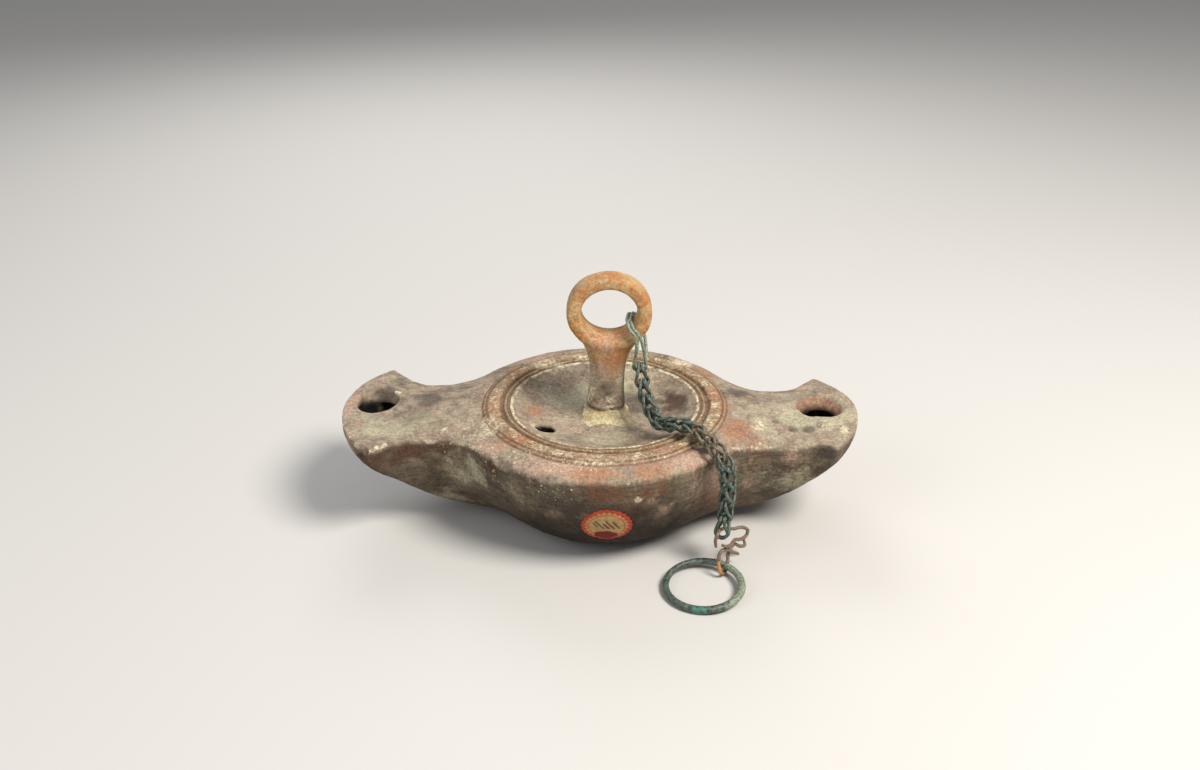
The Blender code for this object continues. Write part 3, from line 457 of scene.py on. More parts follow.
def distance_to_outline(points, outline, batch=1500):
    """Distance of each point to the outline, and the edge height at the nearest place."""
    run = np.roll(outline, -1, axis=0) - outline
    length_squared = np.sum(run[:, :2]**2, axis=1)
    gaps = []
    heights = []
    for first in range(0, len(points), batch):
        part = points[first:first + batch, :2]
        offset = part[:, None, :] - outline[None, :, :2]
        share = np.clip(np.sum(offset * run[None, :, :2], axis=2) / length_squared, 0.0, 1.0)
        gap = np.linalg.norm(offset - share[:, :, None] * run[None, :, :2], axis=2)
        nearest = np.argmin(gap, axis=1)
        rows = np.arange(len(part))
        gaps.append(gap[rows, nearest])
        heights.append(outline[nearest, 2] + share[rows, nearest] * run[nearest, 2])
    return np.concatenate(gaps), np.concatenate(heights)


def dish_height(radius):
    """Height of the sunken disc, which steepens towards its edge."""
    share = np.clip(radius / DISC_RADIUS, 0.0, 1.0)
    return DISC_FLOOR_HEIGHT + (DISC_EDGE_HEIGHT - DISC_FLOOR_HEIGHT) * share**DISC_CURVE_POWER


def disc_height(radius):
    """Height of the sunken disc and of the mouldings round it."""
    beyond = (radius - RIM_CREST_RADIUS) / (RIM_FALL_RADIUS - RIM_CREST_RADIUS)
    rim = RIM_HEIGHT - RIM_DROP * np.clip(beyond, 0.0, 2.0)**2
    for groove, half_width, depth in GROOVES:
        rim = rim - depth * (1.0 - fade(np.abs(radius - groove), 0.0, half_width))
    return np.where(radius <= DISC_RADIUS, dish_height(radius), rim)


def stalk_foot_distance(points):
    """Distance of points on the disc from the foot of the stalk."""
    half_width = STALK_HALF_WIDTHS[0]
    half_depth = STALK_HALF_DEPTHS[0]
    power = STALK_SQUARE_POWER
    spread = (np.abs(points[:, 0] / half_width)**power
              + np.abs(points[:, 1] / half_depth)**power)**(1.0 / power)
    return (spread - 1.0) * half_depth


def top_height(points, outline):
    """Height of the lamp's upper side at each point."""
    radius = plan_radius(points)
    start = SHOULDER_RADIUS
    gap, edge = distance_to_outline(points, outline)
    run = np.clip(radius - start, 0.0, None)
    share = run / np.maximum(run + gap, 1e-9)
    nozzle_share = fade(np.abs(points[:, 0]), start, BODY_RADIUS + WALL)
    crest = disc_height(np.array([start]))[0]
    crest = crest + (NOZZLE_CREST_HEIGHT - crest) * nozzle_share
    shoulder = crest - (crest - edge) * share**SHOULDER_POWER
    disc = disc_height(radius)
    away = np.clip(stalk_foot_distance(points), 0.0, None)
    disc = disc + PLASTER_HEIGHT * np.exp(-away / PLASTER_REACH)
    return np.where(radius <= start, disc, shoulder)


def ceiling_height(points, outline):
    """Height of the chamber's ceiling, one wall below the upper side."""
    radius = plan_radius(points)
    beyond = np.minimum(top_height(points, outline), BODY_EDGE_HEIGHT + WALL)
    beyond = np.minimum(beyond, DISC_EDGE_HEIGHT)
    upper = np.where(radius < DISC_RADIUS, dish_height(radius), beyond)
    nozzle_share = fade(np.abs(points[:, 0]), BODY_RADIUS, BODY_RADIUS + NECK_PULL)
    return upper - WALL - (NOZZLE_TOP_WALL - WALL) * nozzle_share


def circle(centre, radii, steps, turn=0.0):
    """Points of a circle or ellipse in plan."""
    angles = turn + np.linspace(0.0, 2.0 * math.pi, steps, endpoint=False)
    return np.column_stack([centre[0] + radii[0] * np.cos(angles),
                            centre[1] + radii[1] * np.sin(angles)])


def hole_centre(nozzle):
    """Centre of a nozzle's wick hole in plan."""
    out, across = nozzle["hole_centre"]
    return np.array([nozzle["side"] * out, across])


def hole_rings():
    """Upper and lower ring of the filling hole and of both wick holes."""
    fill = circle(FILL_HOLE_CENTRE, (FILL_HOLE_RADIUS, FILL_HOLE_RADIUS), HOLE_STEPS)
    left_centre, right_centre = hole_centre(LEFT_NOZZLE), hole_centre(RIGHT_NOZZLE)
    left = circle((0.0, 0.0), LEFT_NOZZLE["hole_radii"], 2 * HOLE_STEPS)
    right = circle((0.0, 0.0), RIGHT_NOZZLE["hole_radii"], 2 * HOLE_STEPS)
    far_share = fade(left[:, 1] / LEFT_NOZZLE["hole_radii"][1], 0.1, 1.0)
    ledge = np.column_stack([LEFT_LEDGE_SPREAD * left[:, 0], np.full(len(left), LEFT_LEDGE_REACH)])
    return [(fill, fill),
            (left_centre + left + ledge * far_share[:, None],
             left_centre + left * LEFT_HOLE_WIDENING),
            (right_centre + right * (1.0 + RIGHT_FUNNEL),
             right_centre + right * RIGHT_HOLE_NARROWING + RIGHT_HOLE_SHIFT)]


def inside(points, polygon):
    """Whether each point lies inside a polygon."""
    result = np.zeros(len(points), dtype=bool)
    following = np.roll(polygon, -1, axis=0)
    for (x_a, y_a), (x_b, y_b) in zip(polygon[:, :2], following[:, :2]):
        if y_a == y_b:
            continue
        crosses = (y_a > points[:, 1]) != (y_b > points[:, 1])
        at = x_a + (points[:, 1] - y_a) * (x_b - x_a) / (y_b - y_a)
        result ^= crosses & (points[:, 0] < at)
    return result


def lid_triangles(outline, holes, loose, gap):
    """Triangles in plan that fill the outline but not the holes, through loose points."""
    points = [tuple(point) for point in outline[:, :2]]
    edges = [(index, (index + 1) % len(points)) for index in range(len(points))]
    for hole in holes:
        first = len(points)
        points += [tuple(point) for point in hole]
        edges += [(first + index, first + (index + 1) % len(hole))
                  for index in range(len(hole))]
    clear = (distance_to_outline(loose, outline)[0] > gap) & inside(loose, outline)
    for hole in holes:
        closed_hole = np.column_stack([hole, np.zeros(len(hole))])
        clear &= ~inside(loose, hole)
        clear &= distance_to_outline(loose, closed_hole)[0] > gap
    points += [tuple(point) for point in loose[clear]]
    found = geometry.delaunay_2d_cdt([Vector(point) for point in points],
                                     edges, [], 0, 1e-7)
    plan = np.array([tuple(point) for point in found[0]])
    faces = np.array([face for face in found[2]])
    centres = plan[faces].mean(axis=1)
    keep = inside(centres, outline)
    for hole in holes:
        keep &= ~inside(centres, hole)
    return plan, faces[keep]


def loose_points(spacing, ring_start, ring_end):
    """Rings of points where the mouldings are, and staggered rows everywhere else."""
    groups = []
    radius = ring_start
    turn = 0.0
    while radius < ring_end:
        fine = any(abs(radius - groove[0]) < 1.4 * groove[1] for groove in GROOVES)
        steps = round(2.0 * math.pi * radius / spacing)
        groups.append(circle((0.0, 0.0), (radius, radius), steps, turn))
        radius += (0.5 if fine else 0.9) * spacing
        turn += math.pi / steps
    row_height = spacing * math.sqrt(0.75)
    for row in range(int(-LAMP_REACH / row_height), int(LAMP_REACH / row_height) + 1):
        x = np.arange(-LAMP_REACH, LAMP_REACH, spacing) + 0.5 * spacing * (row % 2)
        points = np.column_stack([x, np.full(len(x), row * row_height)])
        away = plan_radius(points)
        groups.append(points[(away < ring_start - 0.6 * spacing)
                             | (away > radius - 0.3 * spacing)])
    return np.vstack(groups)


def strip_faces(row_count, width):
    """Quads between rows of points that close on themselves."""
    return [(row * width + index, (row + 1) * width + index,
             (row + 1) * width + (index + 1) % width, row * width + (index + 1) % width)
            for row in range(row_count - 1) for index in range(width)]


def add_surface(mesh, points, faces):
    """Add points and faces to a bmesh."""
    verts = [mesh.verts.new(point) for point in points]
    for face in faces:
        mesh.faces.new([verts[index] for index in face])


def new_object(name, mesh):
    """Weld a bmesh, turn its faces outwards and put it into the scene."""
    bmesh.ops.remove_doubles(mesh, verts=mesh.verts, dist=1e-6)
    bmesh.ops.recalc_face_normals(mesh, faces=mesh.faces)
    data = bpy.data.meshes.new(name)
    mesh.to_mesh(data)
    mesh.free()
    result = bpy.data.objects.new(name, data)
    bpy.context.collection.objects.link(result)
    return result


def smooth(piece, material):
    """Shade a piece smoothly and give it its one material."""
    for polygon in piece.data.polygons:
        polygon.use_smooth = True
    piece.data.materials.clear()
    piece.data.materials.append(material)


def clay_body():
    """The clay body as one closed skin: outside, chamber and the walls of the holes."""
    mesh = bmesh.new()
    outline = plan_outline(True, OUTLINE_ARC_STEPS, OUTLINE_STEPS)
    spindle = plan_outline(False, OUTLINE_ARC_STEPS, OUTLINE_STEPS)
    rings = hole_rings()
    width = len(outline)
    outer = hull_rows(outline, spindle, BASE_RADIUS, 0.0, SIDE_ROWS)
    add_surface(mesh, np.vstack(outer), strip_faces(len(outer), width))
    for low, high in zip(BASE_RING_SHARES, BASE_RING_SHARES[1:]):
        add_surface(mesh, np.vstack([outer[-1] * low, outer[-1] * high]), strip_faces(2, width))
    base_fan = np.vstack([outer[-1] * BASE_RING_SHARES[-1], np.zeros(3)])
    add_surface(mesh, base_fan, [(index, (index + 1) % width, width) for index in range(width)])
    loose = loose_points(MESH_SPACING, DISC_RADIUS - 0.0012, SHOULDER_RADIUS + 0.0006)
    plan, faces = lid_triangles(outline, [upper for upper, _ in rings], loose,
                                0.5 * MESH_SPACING)
    add_surface(mesh, np.column_stack([plan, top_height(plan, outline)]), faces)

    chamber_edge = inset(plan_outline(False, CHAMBER_ARC_STEPS, CHAMBER_STEPS), WALL)
    chamber_edge[:, 2] = ceiling_height(chamber_edge, outline)
    inner = hull_rows(chamber_edge, chamber_edge, BASE_RADIUS - 0.5 * WALL, WALL, CHAMBER_ROWS)
    inner_width = len(chamber_edge)
    add_surface(mesh, np.vstack(inner), strip_faces(len(inner), inner_width))
    add_surface(mesh, inner[-1], [range(inner_width)])
    coarse = loose_points(CEILING_SPACING, DISC_RADIUS, DISC_RADIUS + 0.0040)
    plan, faces = lid_triangles(chamber_edge, [lower for _, lower in rings], coarse,
                                0.4 * CEILING_SPACING)
    add_surface(mesh, np.column_stack([plan, ceiling_height(plan, outline)]), faces)

    for upper, lower in rings:
        start = np.column_stack([upper, top_height(upper, outline)])
        end = np.column_stack([lower, ceiling_height(lower, outline)])
        rows = []
        for share in np.linspace(0.0, 1.0, HOLE_ROWS):
            row = start + (end - start) * share
            row[:, :2] = upper + (lower - upper) * math.sin(0.5 * math.pi * share)
            rows.append(row)
        add_surface(mesh, np.vstack(rows), strip_faces(len(rows), len(upper)))
    bmesh.ops.triangulate(mesh, faces=[face for face in mesh.faces if len(face.verts) > 4])
    return new_object("clay_lamp", mesh)


def soft_square(angle, square_power):
    """A direction on a rounded square, as two shares of its half sizes."""
    power = 2.0 / square_power
    across = math.copysign(abs(math.cos(angle))**power, math.cos(angle))
    up = math.copysign(abs(math.sin(angle))**power, math.sin(angle))
    return across, up


def stalk_shape():
    """The stalk, with the crack that runs round its foot above the plaster."""
    mesh = bmesh.new()
    height = (HANDLE_CENTRE_HEIGHT - HANDLE_HOLE_RADIUS * HANDLE_HEIGHT_SHARE
              - STALK_HEAD_COVER - DISC_FLOOR_HEIGHT)
    shares = np.array(STALK_RISE_SHARES)
    levels = np.concatenate([np.arange(-STALK_SINK, 0.0080, 0.00034),
                             np.arange(0.0080, height, 0.0007), [height]])
    width = STALK_TURNS
    rows = []
    for rise in levels:
        share = rise / height
        half_width = np.interp(share, shares, STALK_HALF_WIDTHS)
        half_depth = np.interp(share, shares, STALK_HALF_DEPTHS)
        lean = HANDLE_OFFSET * max(share, 0.0)
        for step in range(width):
            across, back = soft_square(2.0 * math.pi * step / width, STALK_SQUARE_POWER)
            crack = CRACK_HEIGHT + 0.0004 * math.sin(5.0 * across) - 0.0003 * back
            depth = math.exp(-((DISC_FLOOR_HEIGHT + rise - crack) / 0.00034)**2)
            squeeze = 1.0 - 0.075 * depth
            rows.append((lean + across * half_width * squeeze, back * half_depth * squeeze,
                         DISC_FLOOR_HEIGHT + rise))
    add_surface(mesh, rows, strip_faces(len(levels), width))
    add_surface(mesh, rows[:width], [range(width)])
    add_surface(mesh, rows[-width:], [range(width)])
    return new_object("stalk_shape", mesh)


def ring_shape():
    """The ring at the head of the stalk."""
    mesh = bmesh.new()
    middle = 0.5 * (HANDLE_OUTER_RADIUS + HANDLE_HOLE_RADIUS)
    half_band = 0.5 * (HANDLE_OUTER_RADIUS - HANDLE_HOLE_RADIUS)
    points = []
    for step in range(RING_STEPS):
        angle = 2.0 * math.pi * step / RING_STEPS
        foot_share = 0.5 - 0.5 * math.sin(angle)
        half_depth = (HANDLE_HALF_DEPTH_TOP
                      + (HANDLE_HALF_DEPTH_FOOT - HANDLE_HALF_DEPTH_TOP) * foot_share)
        for turn in range(RING_TURNS):
            out, back = soft_square(2.0 * math.pi * turn / RING_TURNS, HANDLE_SQUARE_POWER)
            radius = middle + out * half_band
            rise = radius * HANDLE_HEIGHT_SHARE * math.sin(angle)
            points.append((HANDLE_OFFSET + radius * math.cos(angle), back * half_depth,
                           HANDLE_CENTRE_HEIGHT + rise))
    count = len(points)
    add_surface(mesh, points, [tuple(index % count for index in face)
                               for face in strip_faces(RING_STEPS + 1, RING_TURNS)])
    return new_object("ring_shape", mesh)


def mesh_arrays(data):
    """Places and normals of a mesh's vertices."""
    points = np.empty(3 * len(data.vertices))
    normals = np.empty(3 * len(data.vertices))
    data.vertices.foreach_get("co", points)
    data.vertex_normals.foreach_get("vector", normals)
    return points.reshape(-1, 3), normals.reshape(-1, 3)


def edge_ends(data):
    """Numbers of the first and second vertices of a mesh's edges."""
    edges = np.empty(2 * len(data.edges), dtype=int)
    data.edges.foreach_get("vertices", edges)
    return edges.reshape(-1, 2).T


def set_points(data, points):
    """Move a mesh's vertices."""
    data.vertices.foreach_set("co", points.ravel())
    data.update()


def soften(data, points, weights, rounds):
    """Points pulled towards the middle of their neighbours, by a weight for each."""
    first, second = edge_ends(data)
    count = np.zeros(len(points))
    np.add.at(count, first, 1.0)
    np.add.at(count, second, 1.0)
    for _ in range(rounds):
        total = np.zeros_like(points)
        np.add.at(total, first, points[second])
        np.add.at(total, second, points[first])
        points = points + weights[:, None] * (total / count[:, None] - points)
    return points


def sharp_weights(data, points, threshold, grow):
    """1 at vertices on sharp edges, fading over their neighbours."""
    _, normals = mesh_arrays(data)
    first, second = edge_ends(data)
    length = np.linalg.norm(points[first] - points[second], axis=1)
    turn = np.linalg.norm(normals[first] - normals[second], axis=1)
    sharp = (turn > threshold) & (length < 0.003)
    weights = np.zeros(len(points))
    weights[first[sharp]] = 1.0
    weights[second[sharp]] = 1.0
    for _ in range(grow):
        spread = weights.copy()
        np.maximum.at(spread, first, 0.7 * weights[second])
        np.maximum.at(spread, second, 0.7 * weights[first])
        weights = spread
    return weights


def cut_chips(points):
    """Flatten the places where an edge has broken off."""
    for centre, direction, depth, radius in CHIPS:
        normal = np.array(direction) / np.linalg.norm(direction)
        offset = points - np.array(centre)
        near = np.linalg.norm(offset, axis=1) < 1.6 * radius
        rough = 0.00035 * fractal(points[near], 0.0016)
        height = offset[near] @ normal + depth + rough
        side = np.linalg.norm(offset[near] - np.outer(offset[near] @ normal, normal), axis=1)
        reach = 1.0 - fade(side, 0.7 * radius, 1.3 * radius)
        cut = np.clip(height, 0.0, None) * reach
        points[near] -= np.outer(cut, normal)
    return points


def press_pits(points, normals):
    """Press small holes into the surface."""
    for centre, radius, depth in PITS:
        away = np.linalg.norm((points - np.array(centre))[:, :2], axis=1)
        away = np.where(np.abs(points[:, 2] - centre[2]) < 0.004, away, 1.0)
        press = depth * (1.0 - fade(away, 0.2 * radius, 1.4 * radius))
        points = points - normals * press[:, None]
    return points


def worn_surface(lamp):
    """Round the edges, break the chips and roughen the skin by hand-made unevenness."""
    data = lamp.data
    points, _ = mesh_arrays(data)
    points = soften(data, points, 0.6 * sharp_weights(data, points, 0.35, 1), 3)
    joint = fade(points[:, 2], 0.0655, 0.0675) * (1.0 - fade(points[:, 2], 0.0770, 0.0790))
    points = soften(data, points, 0.6 * joint, 8)
    set_points(data, cut_chips(points))
    points, normals = mesh_arrays(data)
    height = points[:, 2]
    flat_base = 1.0 - fade(height, 0.0004, 0.0030)
    uneven = (SKIN_WAVE * fractal(points, 0.016)
              + SKIN_LUMP * fractal(points, 0.0042, shift=3.7))
    uneven *= 1.0 - 0.45 * fade(height, 0.0520, 0.0600)
    crust = CRUST * np.clip(fractal(points, 0.0022, shift=9.1), 0.0, 1.0)
    on_rim = band(plan_radius(points), RIM_CREST_RADIUS, 0.0050, 0.0080)
    on_rim *= fade(height, 0.0440, 0.0450)
    marks = WHEEL_MARK * np.sin(height * 2.0 * math.pi / WHEEL_MARK_SPACING
                                + 1.4 * fractal(points, 0.03, shift=5.5))
    bowl = fade(-normals[:, 2], -0.25, 0.05)
    move = uneven + crust * on_rim + marks * bowl - SKIN_SINK
    points = points + normals * (move * (1.0 - flat_base))[:, None]
    points = press_pits(points, normals)
    set_points(data, np.clip(points, CAD_LOW, CAD_HIGH))


def patch_mask(points, patches, wobble):
    """How strongly each point lies in one of the patches."""
    result = np.zeros(len(points))
    for x, y, z, size_x, size_y, size_z, strength in patches:
        offset = (points * 1000.0 - (x, y, z)) / (size_x, size_y, size_z)
        away = np.linalg.norm(offset, axis=1) + 0.55 * wobble
        result = np.maximum(result, strength * (1.0 - fade(away, 0.10, 1.30)))
    return result


def set_mask(data, name, values):
    """Keep a value for each vertex, for the materials."""
    attribute = data.attributes.new(name, "FLOAT", "POINT")
    attribute.data.foreach_set("value", values.astype(np.float32))


def raise_mask(masks, name, values):
    """Make a mask at least as strong as some values."""
    masks[name] = np.maximum(masks.get(name, 0.0), values)


def paint_top(masks, points, normals, wobble, fine):
    """Crust and wear of the rim and the disc, painted highlights along the disc's edge and the
    outer edge, painted shade in the filling hole, and plaster at the stalk's foot.
    """
    height = points[:, 2]
    radius = plan_radius(points)
    on_top = fade(normals[:, 2], 0.35, 0.65) * fade(height, 0.040, 0.0425)
    on_top *= 1.0 - fade(height, 0.047, 0.049)
    on_rim = on_top * band(radius, RIM_CREST_RADIUS, 0.0048, 0.0066)
    groove_share = np.max([band(radius, groove, 0.3 * half_width, 1.2 * half_width)
                           for groove, half_width, _ in GROOVES], axis=0)
    masks["rim"] = on_rim
    masks["groove"] = on_rim * groove_share
    raise_mask(masks, "cream", on_rim * (1.0 - groove_share) * fade(fine, -0.25, 0.35) * 0.62)
    # Painted highlight: a thin cream line along the disc's edge.
    edge_line = on_top * band(radius, DISC_RADIUS + 0.0001, 0.0003, 0.0010)
    raise_mask(masks, "cream", edge_line * fade(fine, -0.5, 0.0) * 0.95)
    fill = np.linalg.norm(points[:, :2] - FILL_HOLE_CENTRE, axis=1)
    halo = (1.0 - fade(fill, 0.0045, 0.0068)) * fade(height, 0.036, 0.038)
    raise_mask(masks, "cream", 0.7 * halo * on_top)
    # Painted shade: the filling hole's wall below the disc is painted nearly black.
    fill_wall = (fill < FILL_HOLE_RADIUS * 1.1) & (height < DISC_FLOOR_HEIGHT)
    raise_mask(masks, "dark", fill_wall & (height > 0.032))
    # Painted highlight: a cream line along the lamp's outer upper edge, stronger towards the left.
    gap, edge = distance_to_outline(
        points, plan_outline(True, OUTLINE_ARC_STEPS, OUTLINE_STEPS))
    at_edge = (1.0 - fade(gap, 0.0005, 0.0016)) * (np.abs(height - edge) < 0.0018)
    to_left = fade(-points[:, 0], 0.032, 0.046)
    raise_mask(masks, "cream", at_edge * fade(wobble, -0.4 - 0.1 * to_left, 0.4)
               * (0.48 + 0.30 * to_left))
    away = stalk_foot_distance(points) + 0.0016 * wobble
    front = fade(-points[:, 1], 0.003, 0.0075)
    foot = (height < CRACK_HEIGHT) & (height > DISC_FLOOR_HEIGHT - 0.001)
    plaster = (1.0 - fade(away, -0.0006 + 0.0020 * front, 0.0004 + 0.0030 * front)) * foot
    masks["plaster"] = plaster * (radius < 0.030) * (normals[:, 2] > -0.2)


def paint_holes(masks, points, normals):
    """Painted shade, nearly black, in the wick holes, the chamber and the pits; the right hole's
    wall is brown.
    """
    height = points[:, 2]
    for nozzle, dark_from, dark_to, brown in ((LEFT_NOZZLE, 0.0022, 0.0028, 0.0),
                                              (RIGHT_NOZZLE, 0.0030, 0.0058, 1.0)):
        within = np.linalg.norm((points[:, :2] - hole_centre(nozzle)) / nozzle["hole_radii"],
                                axis=1)
        below = nozzle["tip_height"] - height
        inner = 1.0 - fade(within, 1.04, 1.16)
        raise_mask(masks, "dark", inner * fade(below, dark_from, dark_to) * (height > 0.030))
        raise_mask(masks, "dark", (within < 1.35) & (below > 0.0060) & (normals[:, 2] > -0.35))
        raise_mask(masks, "wick", inner * fade(below, 0.0008, 0.0020) * brown)
    # Painted shade: the chamber's floor is painted nearly black, and the pits are darkened.
    raise_mask(masks, "dark", (height < 0.0370) & (height > 0.0030) & (normals[:, 2] > 0.10))
    for centre, radius, _ in PITS:
        away = np.linalg.norm(points - centre, axis=1)
        raise_mask(masks, "dark", 0.7 * (1.0 - fade(away, 0.6 * radius, 1.8 * radius)))


def paint_clay(lamp):
    """Say where the clay is pale, sooty, pink, red, rusty or crusted, and where shade and
    highlights are painted on it.
    """
    points, normals = mesh_arrays(lamp.data)
    height = points[:, 2]
    wobble = fractal(points, 0.0075, 4)
    broad = fractal(points, 0.020, 3, shift=2.3)
    fine = fractal(points, 0.0035, 3, shift=6.1)
    masks = {name: patch_mask(points, patches, wobble) for name, patches in PATCHES.items()}
    behind = fade(points[:, 1], 0.012, 0.035)
    under = 1.0 - fade(height, 0.010, 0.026)
    unseen = np.clip(behind + under, 0.0, 1.0)
    raise_mask(masks, "red", unseen * fade(broad, 0.22, 0.55) * 0.8)
    raise_mask(masks, "ash", unseen * fade(-broad, 0.15, 0.5) * 0.8)
    raise_mask(masks, "soot_and_shade", unseen * fade(fine, 0.25, 0.6) * 0.7)
    raise_mask(masks, "pink", 0.5 * fade(wobble, 0.2, 0.6))
    paint_top(masks, points, normals, wobble, fine)
    paint_holes(masks, points, normals)
    masks["handle"] = fade(height, 0.0560, 0.0700)
    bowl_side = fade(-normals[:, 2], -0.30, 0.0)
    masks["bowl"] = bowl_side * (1.0 - fade(height, 0.0455, 0.047))
    # Painted shade: the low mask darkens the bowl's lower front, less towards the sides.
    to_side = fade(np.abs(points[:, 0] + 0.004), 0.022, 0.050)
    masks["low"] = (1.0 - fade(height, 0.012, 0.038)) * bowl_side * (1.0 - 0.8 * to_side)
    for name, values in masks.items():
        set_mask(lamp.data, name, np.clip(values, 0.0, 1.0))


def srgb(red, green, blue):
    """A colour from 0 to 255 as the shaders count it."""
    def linear(value):
        value /= 255.0
        return value / 12.92 if value <= 0.04045 else ((value + 0.055) / 1.055)**2.4
    return (linear(red), linear(green), linear(blue), 1.0)


class Shader:
    """Short ways to build a material out of nodes."""

    def __init__(self, name):
        self.material = bpy.data.materials.new(name)
        self.material.use_nodes = True
        self.nodes = self.material.node_tree.nodes
        self.links = self.material.node_tree.links
        self.surface = self.nodes["Principled BSDF"]
        self.place = self.nodes.new("ShaderNodeTexCoord").outputs["Object"]

    def feed(self, socket, value):
        """Link an output to a socket, or set a plain value."""
        if isinstance(value, bpy.types.NodeSocket):
            self.links.new(value, socket)
        else:
            socket.default_value = value

    def noise(self, size, detail=4.0, roughness=0.6, stretch=None, distortion=0.0):
        """Noise with features of a size in metres."""
        node = self.nodes.new("ShaderNodeTexNoise")
        node.inputs["Scale"].default_value = 1.0 / size
        node.inputs["Detail"].default_value = detail
        node.inputs["Roughness"].default_value = roughness
        node.inputs["Distortion"].default_value = distortion
        place = self.place
        if stretch:
            mapping = self.nodes.new("ShaderNodeMapping")
            mapping.inputs["Scale"].default_value = stretch
            self.links.new(place, mapping.inputs["Vector"])
            place = mapping.outputs["Vector"]
        self.links.new(place, node.inputs["Vector"])
        return node.outputs["Fac"]

    def cells(self, size, randomness=1.0):
        """Distance to scattered points, about a size apart."""
        node = self.nodes.new("ShaderNodeTexVoronoi")
        node.inputs["Scale"].default_value = 1.0 / size
        node.inputs["Randomness"].default_value = randomness
        self.links.new(self.place, node.inputs["Vector"])
        return node.outputs["Distance"]

    def mask(self, name):
        """A value that the mesh keeps for each vertex."""
        node = self.nodes.new("ShaderNodeAttribute")
        node.attribute_name = name
        return node.outputs["Fac"]

    def math(self, operation, first, second=0.0, third=0.0):
        """One step of arithmetic."""
        node = self.nodes.new("ShaderNodeMath")
        node.operation = operation
        for socket, value in zip(node.inputs, (first, second, third)):
            self.feed(socket, value)
        return node.outputs["Value"]

    def ramp(self, value, low, high, start=0.0, end=1.0):
        """A value taken smoothly from start to end between low and high."""
        node = self.nodes.new("ShaderNodeMapRange")
        node.interpolation_type = "SMOOTHSTEP"
        self.links.new(value, node.inputs["Value"])
        for key, number in (("From Min", low), ("From Max", high),
                            ("To Min", start), ("To Max", end)):
            node.inputs[key].default_value = number
        return node.outputs["Result"]

    def mix(self, share, first, second, blend="MIX"):
        """Two colours mixed by a share."""
        node = self.nodes.new("ShaderNodeMix")
        node.data_type = "RGBA"
        node.blend_type = blend
        self.feed(node.inputs["Factor"], share)
        colour_inputs = [socket for socket in node.inputs if socket.type == "RGBA"]
        self.feed(colour_inputs[0], first)
        self.feed(colour_inputs[1], second)
        return [socket for socket in node.outputs if socket.type == "RGBA"][0]

    def tint(self, base, value, low, high, paint, amount=1.0):
        """A colour painted over where a value is high."""
        return self.mix(self.ramp(value, low, high, 0.0, amount), base, paint)

    def bump(self, height, distance, strength, below=None):
        """A bumped normal."""
        node = self.nodes.new("ShaderNodeBump")
        node.inputs["Strength"].default_value = strength
        node.inputs["Distance"].default_value = distance
        self.links.new(height, node.inputs["Height"])
        if below:
            self.links.new(below, node.inputs["Normal"])
        return node.outputs["Normal"]

    def finish(self, colour, roughness, normal, metallic=0.0, specular=0.5):
        """Join the last links and return the material."""
        self.feed(self.surface.inputs["Base Color"], colour)
        self.feed(self.surface.inputs["Roughness"], roughness)
        self.feed(self.surface.inputs["Normal"], normal)
        self.surface.inputs["Metallic"].default_value = metallic
        self.surface.inputs["Specular IOR Level"].default_value = specular
        return self.material


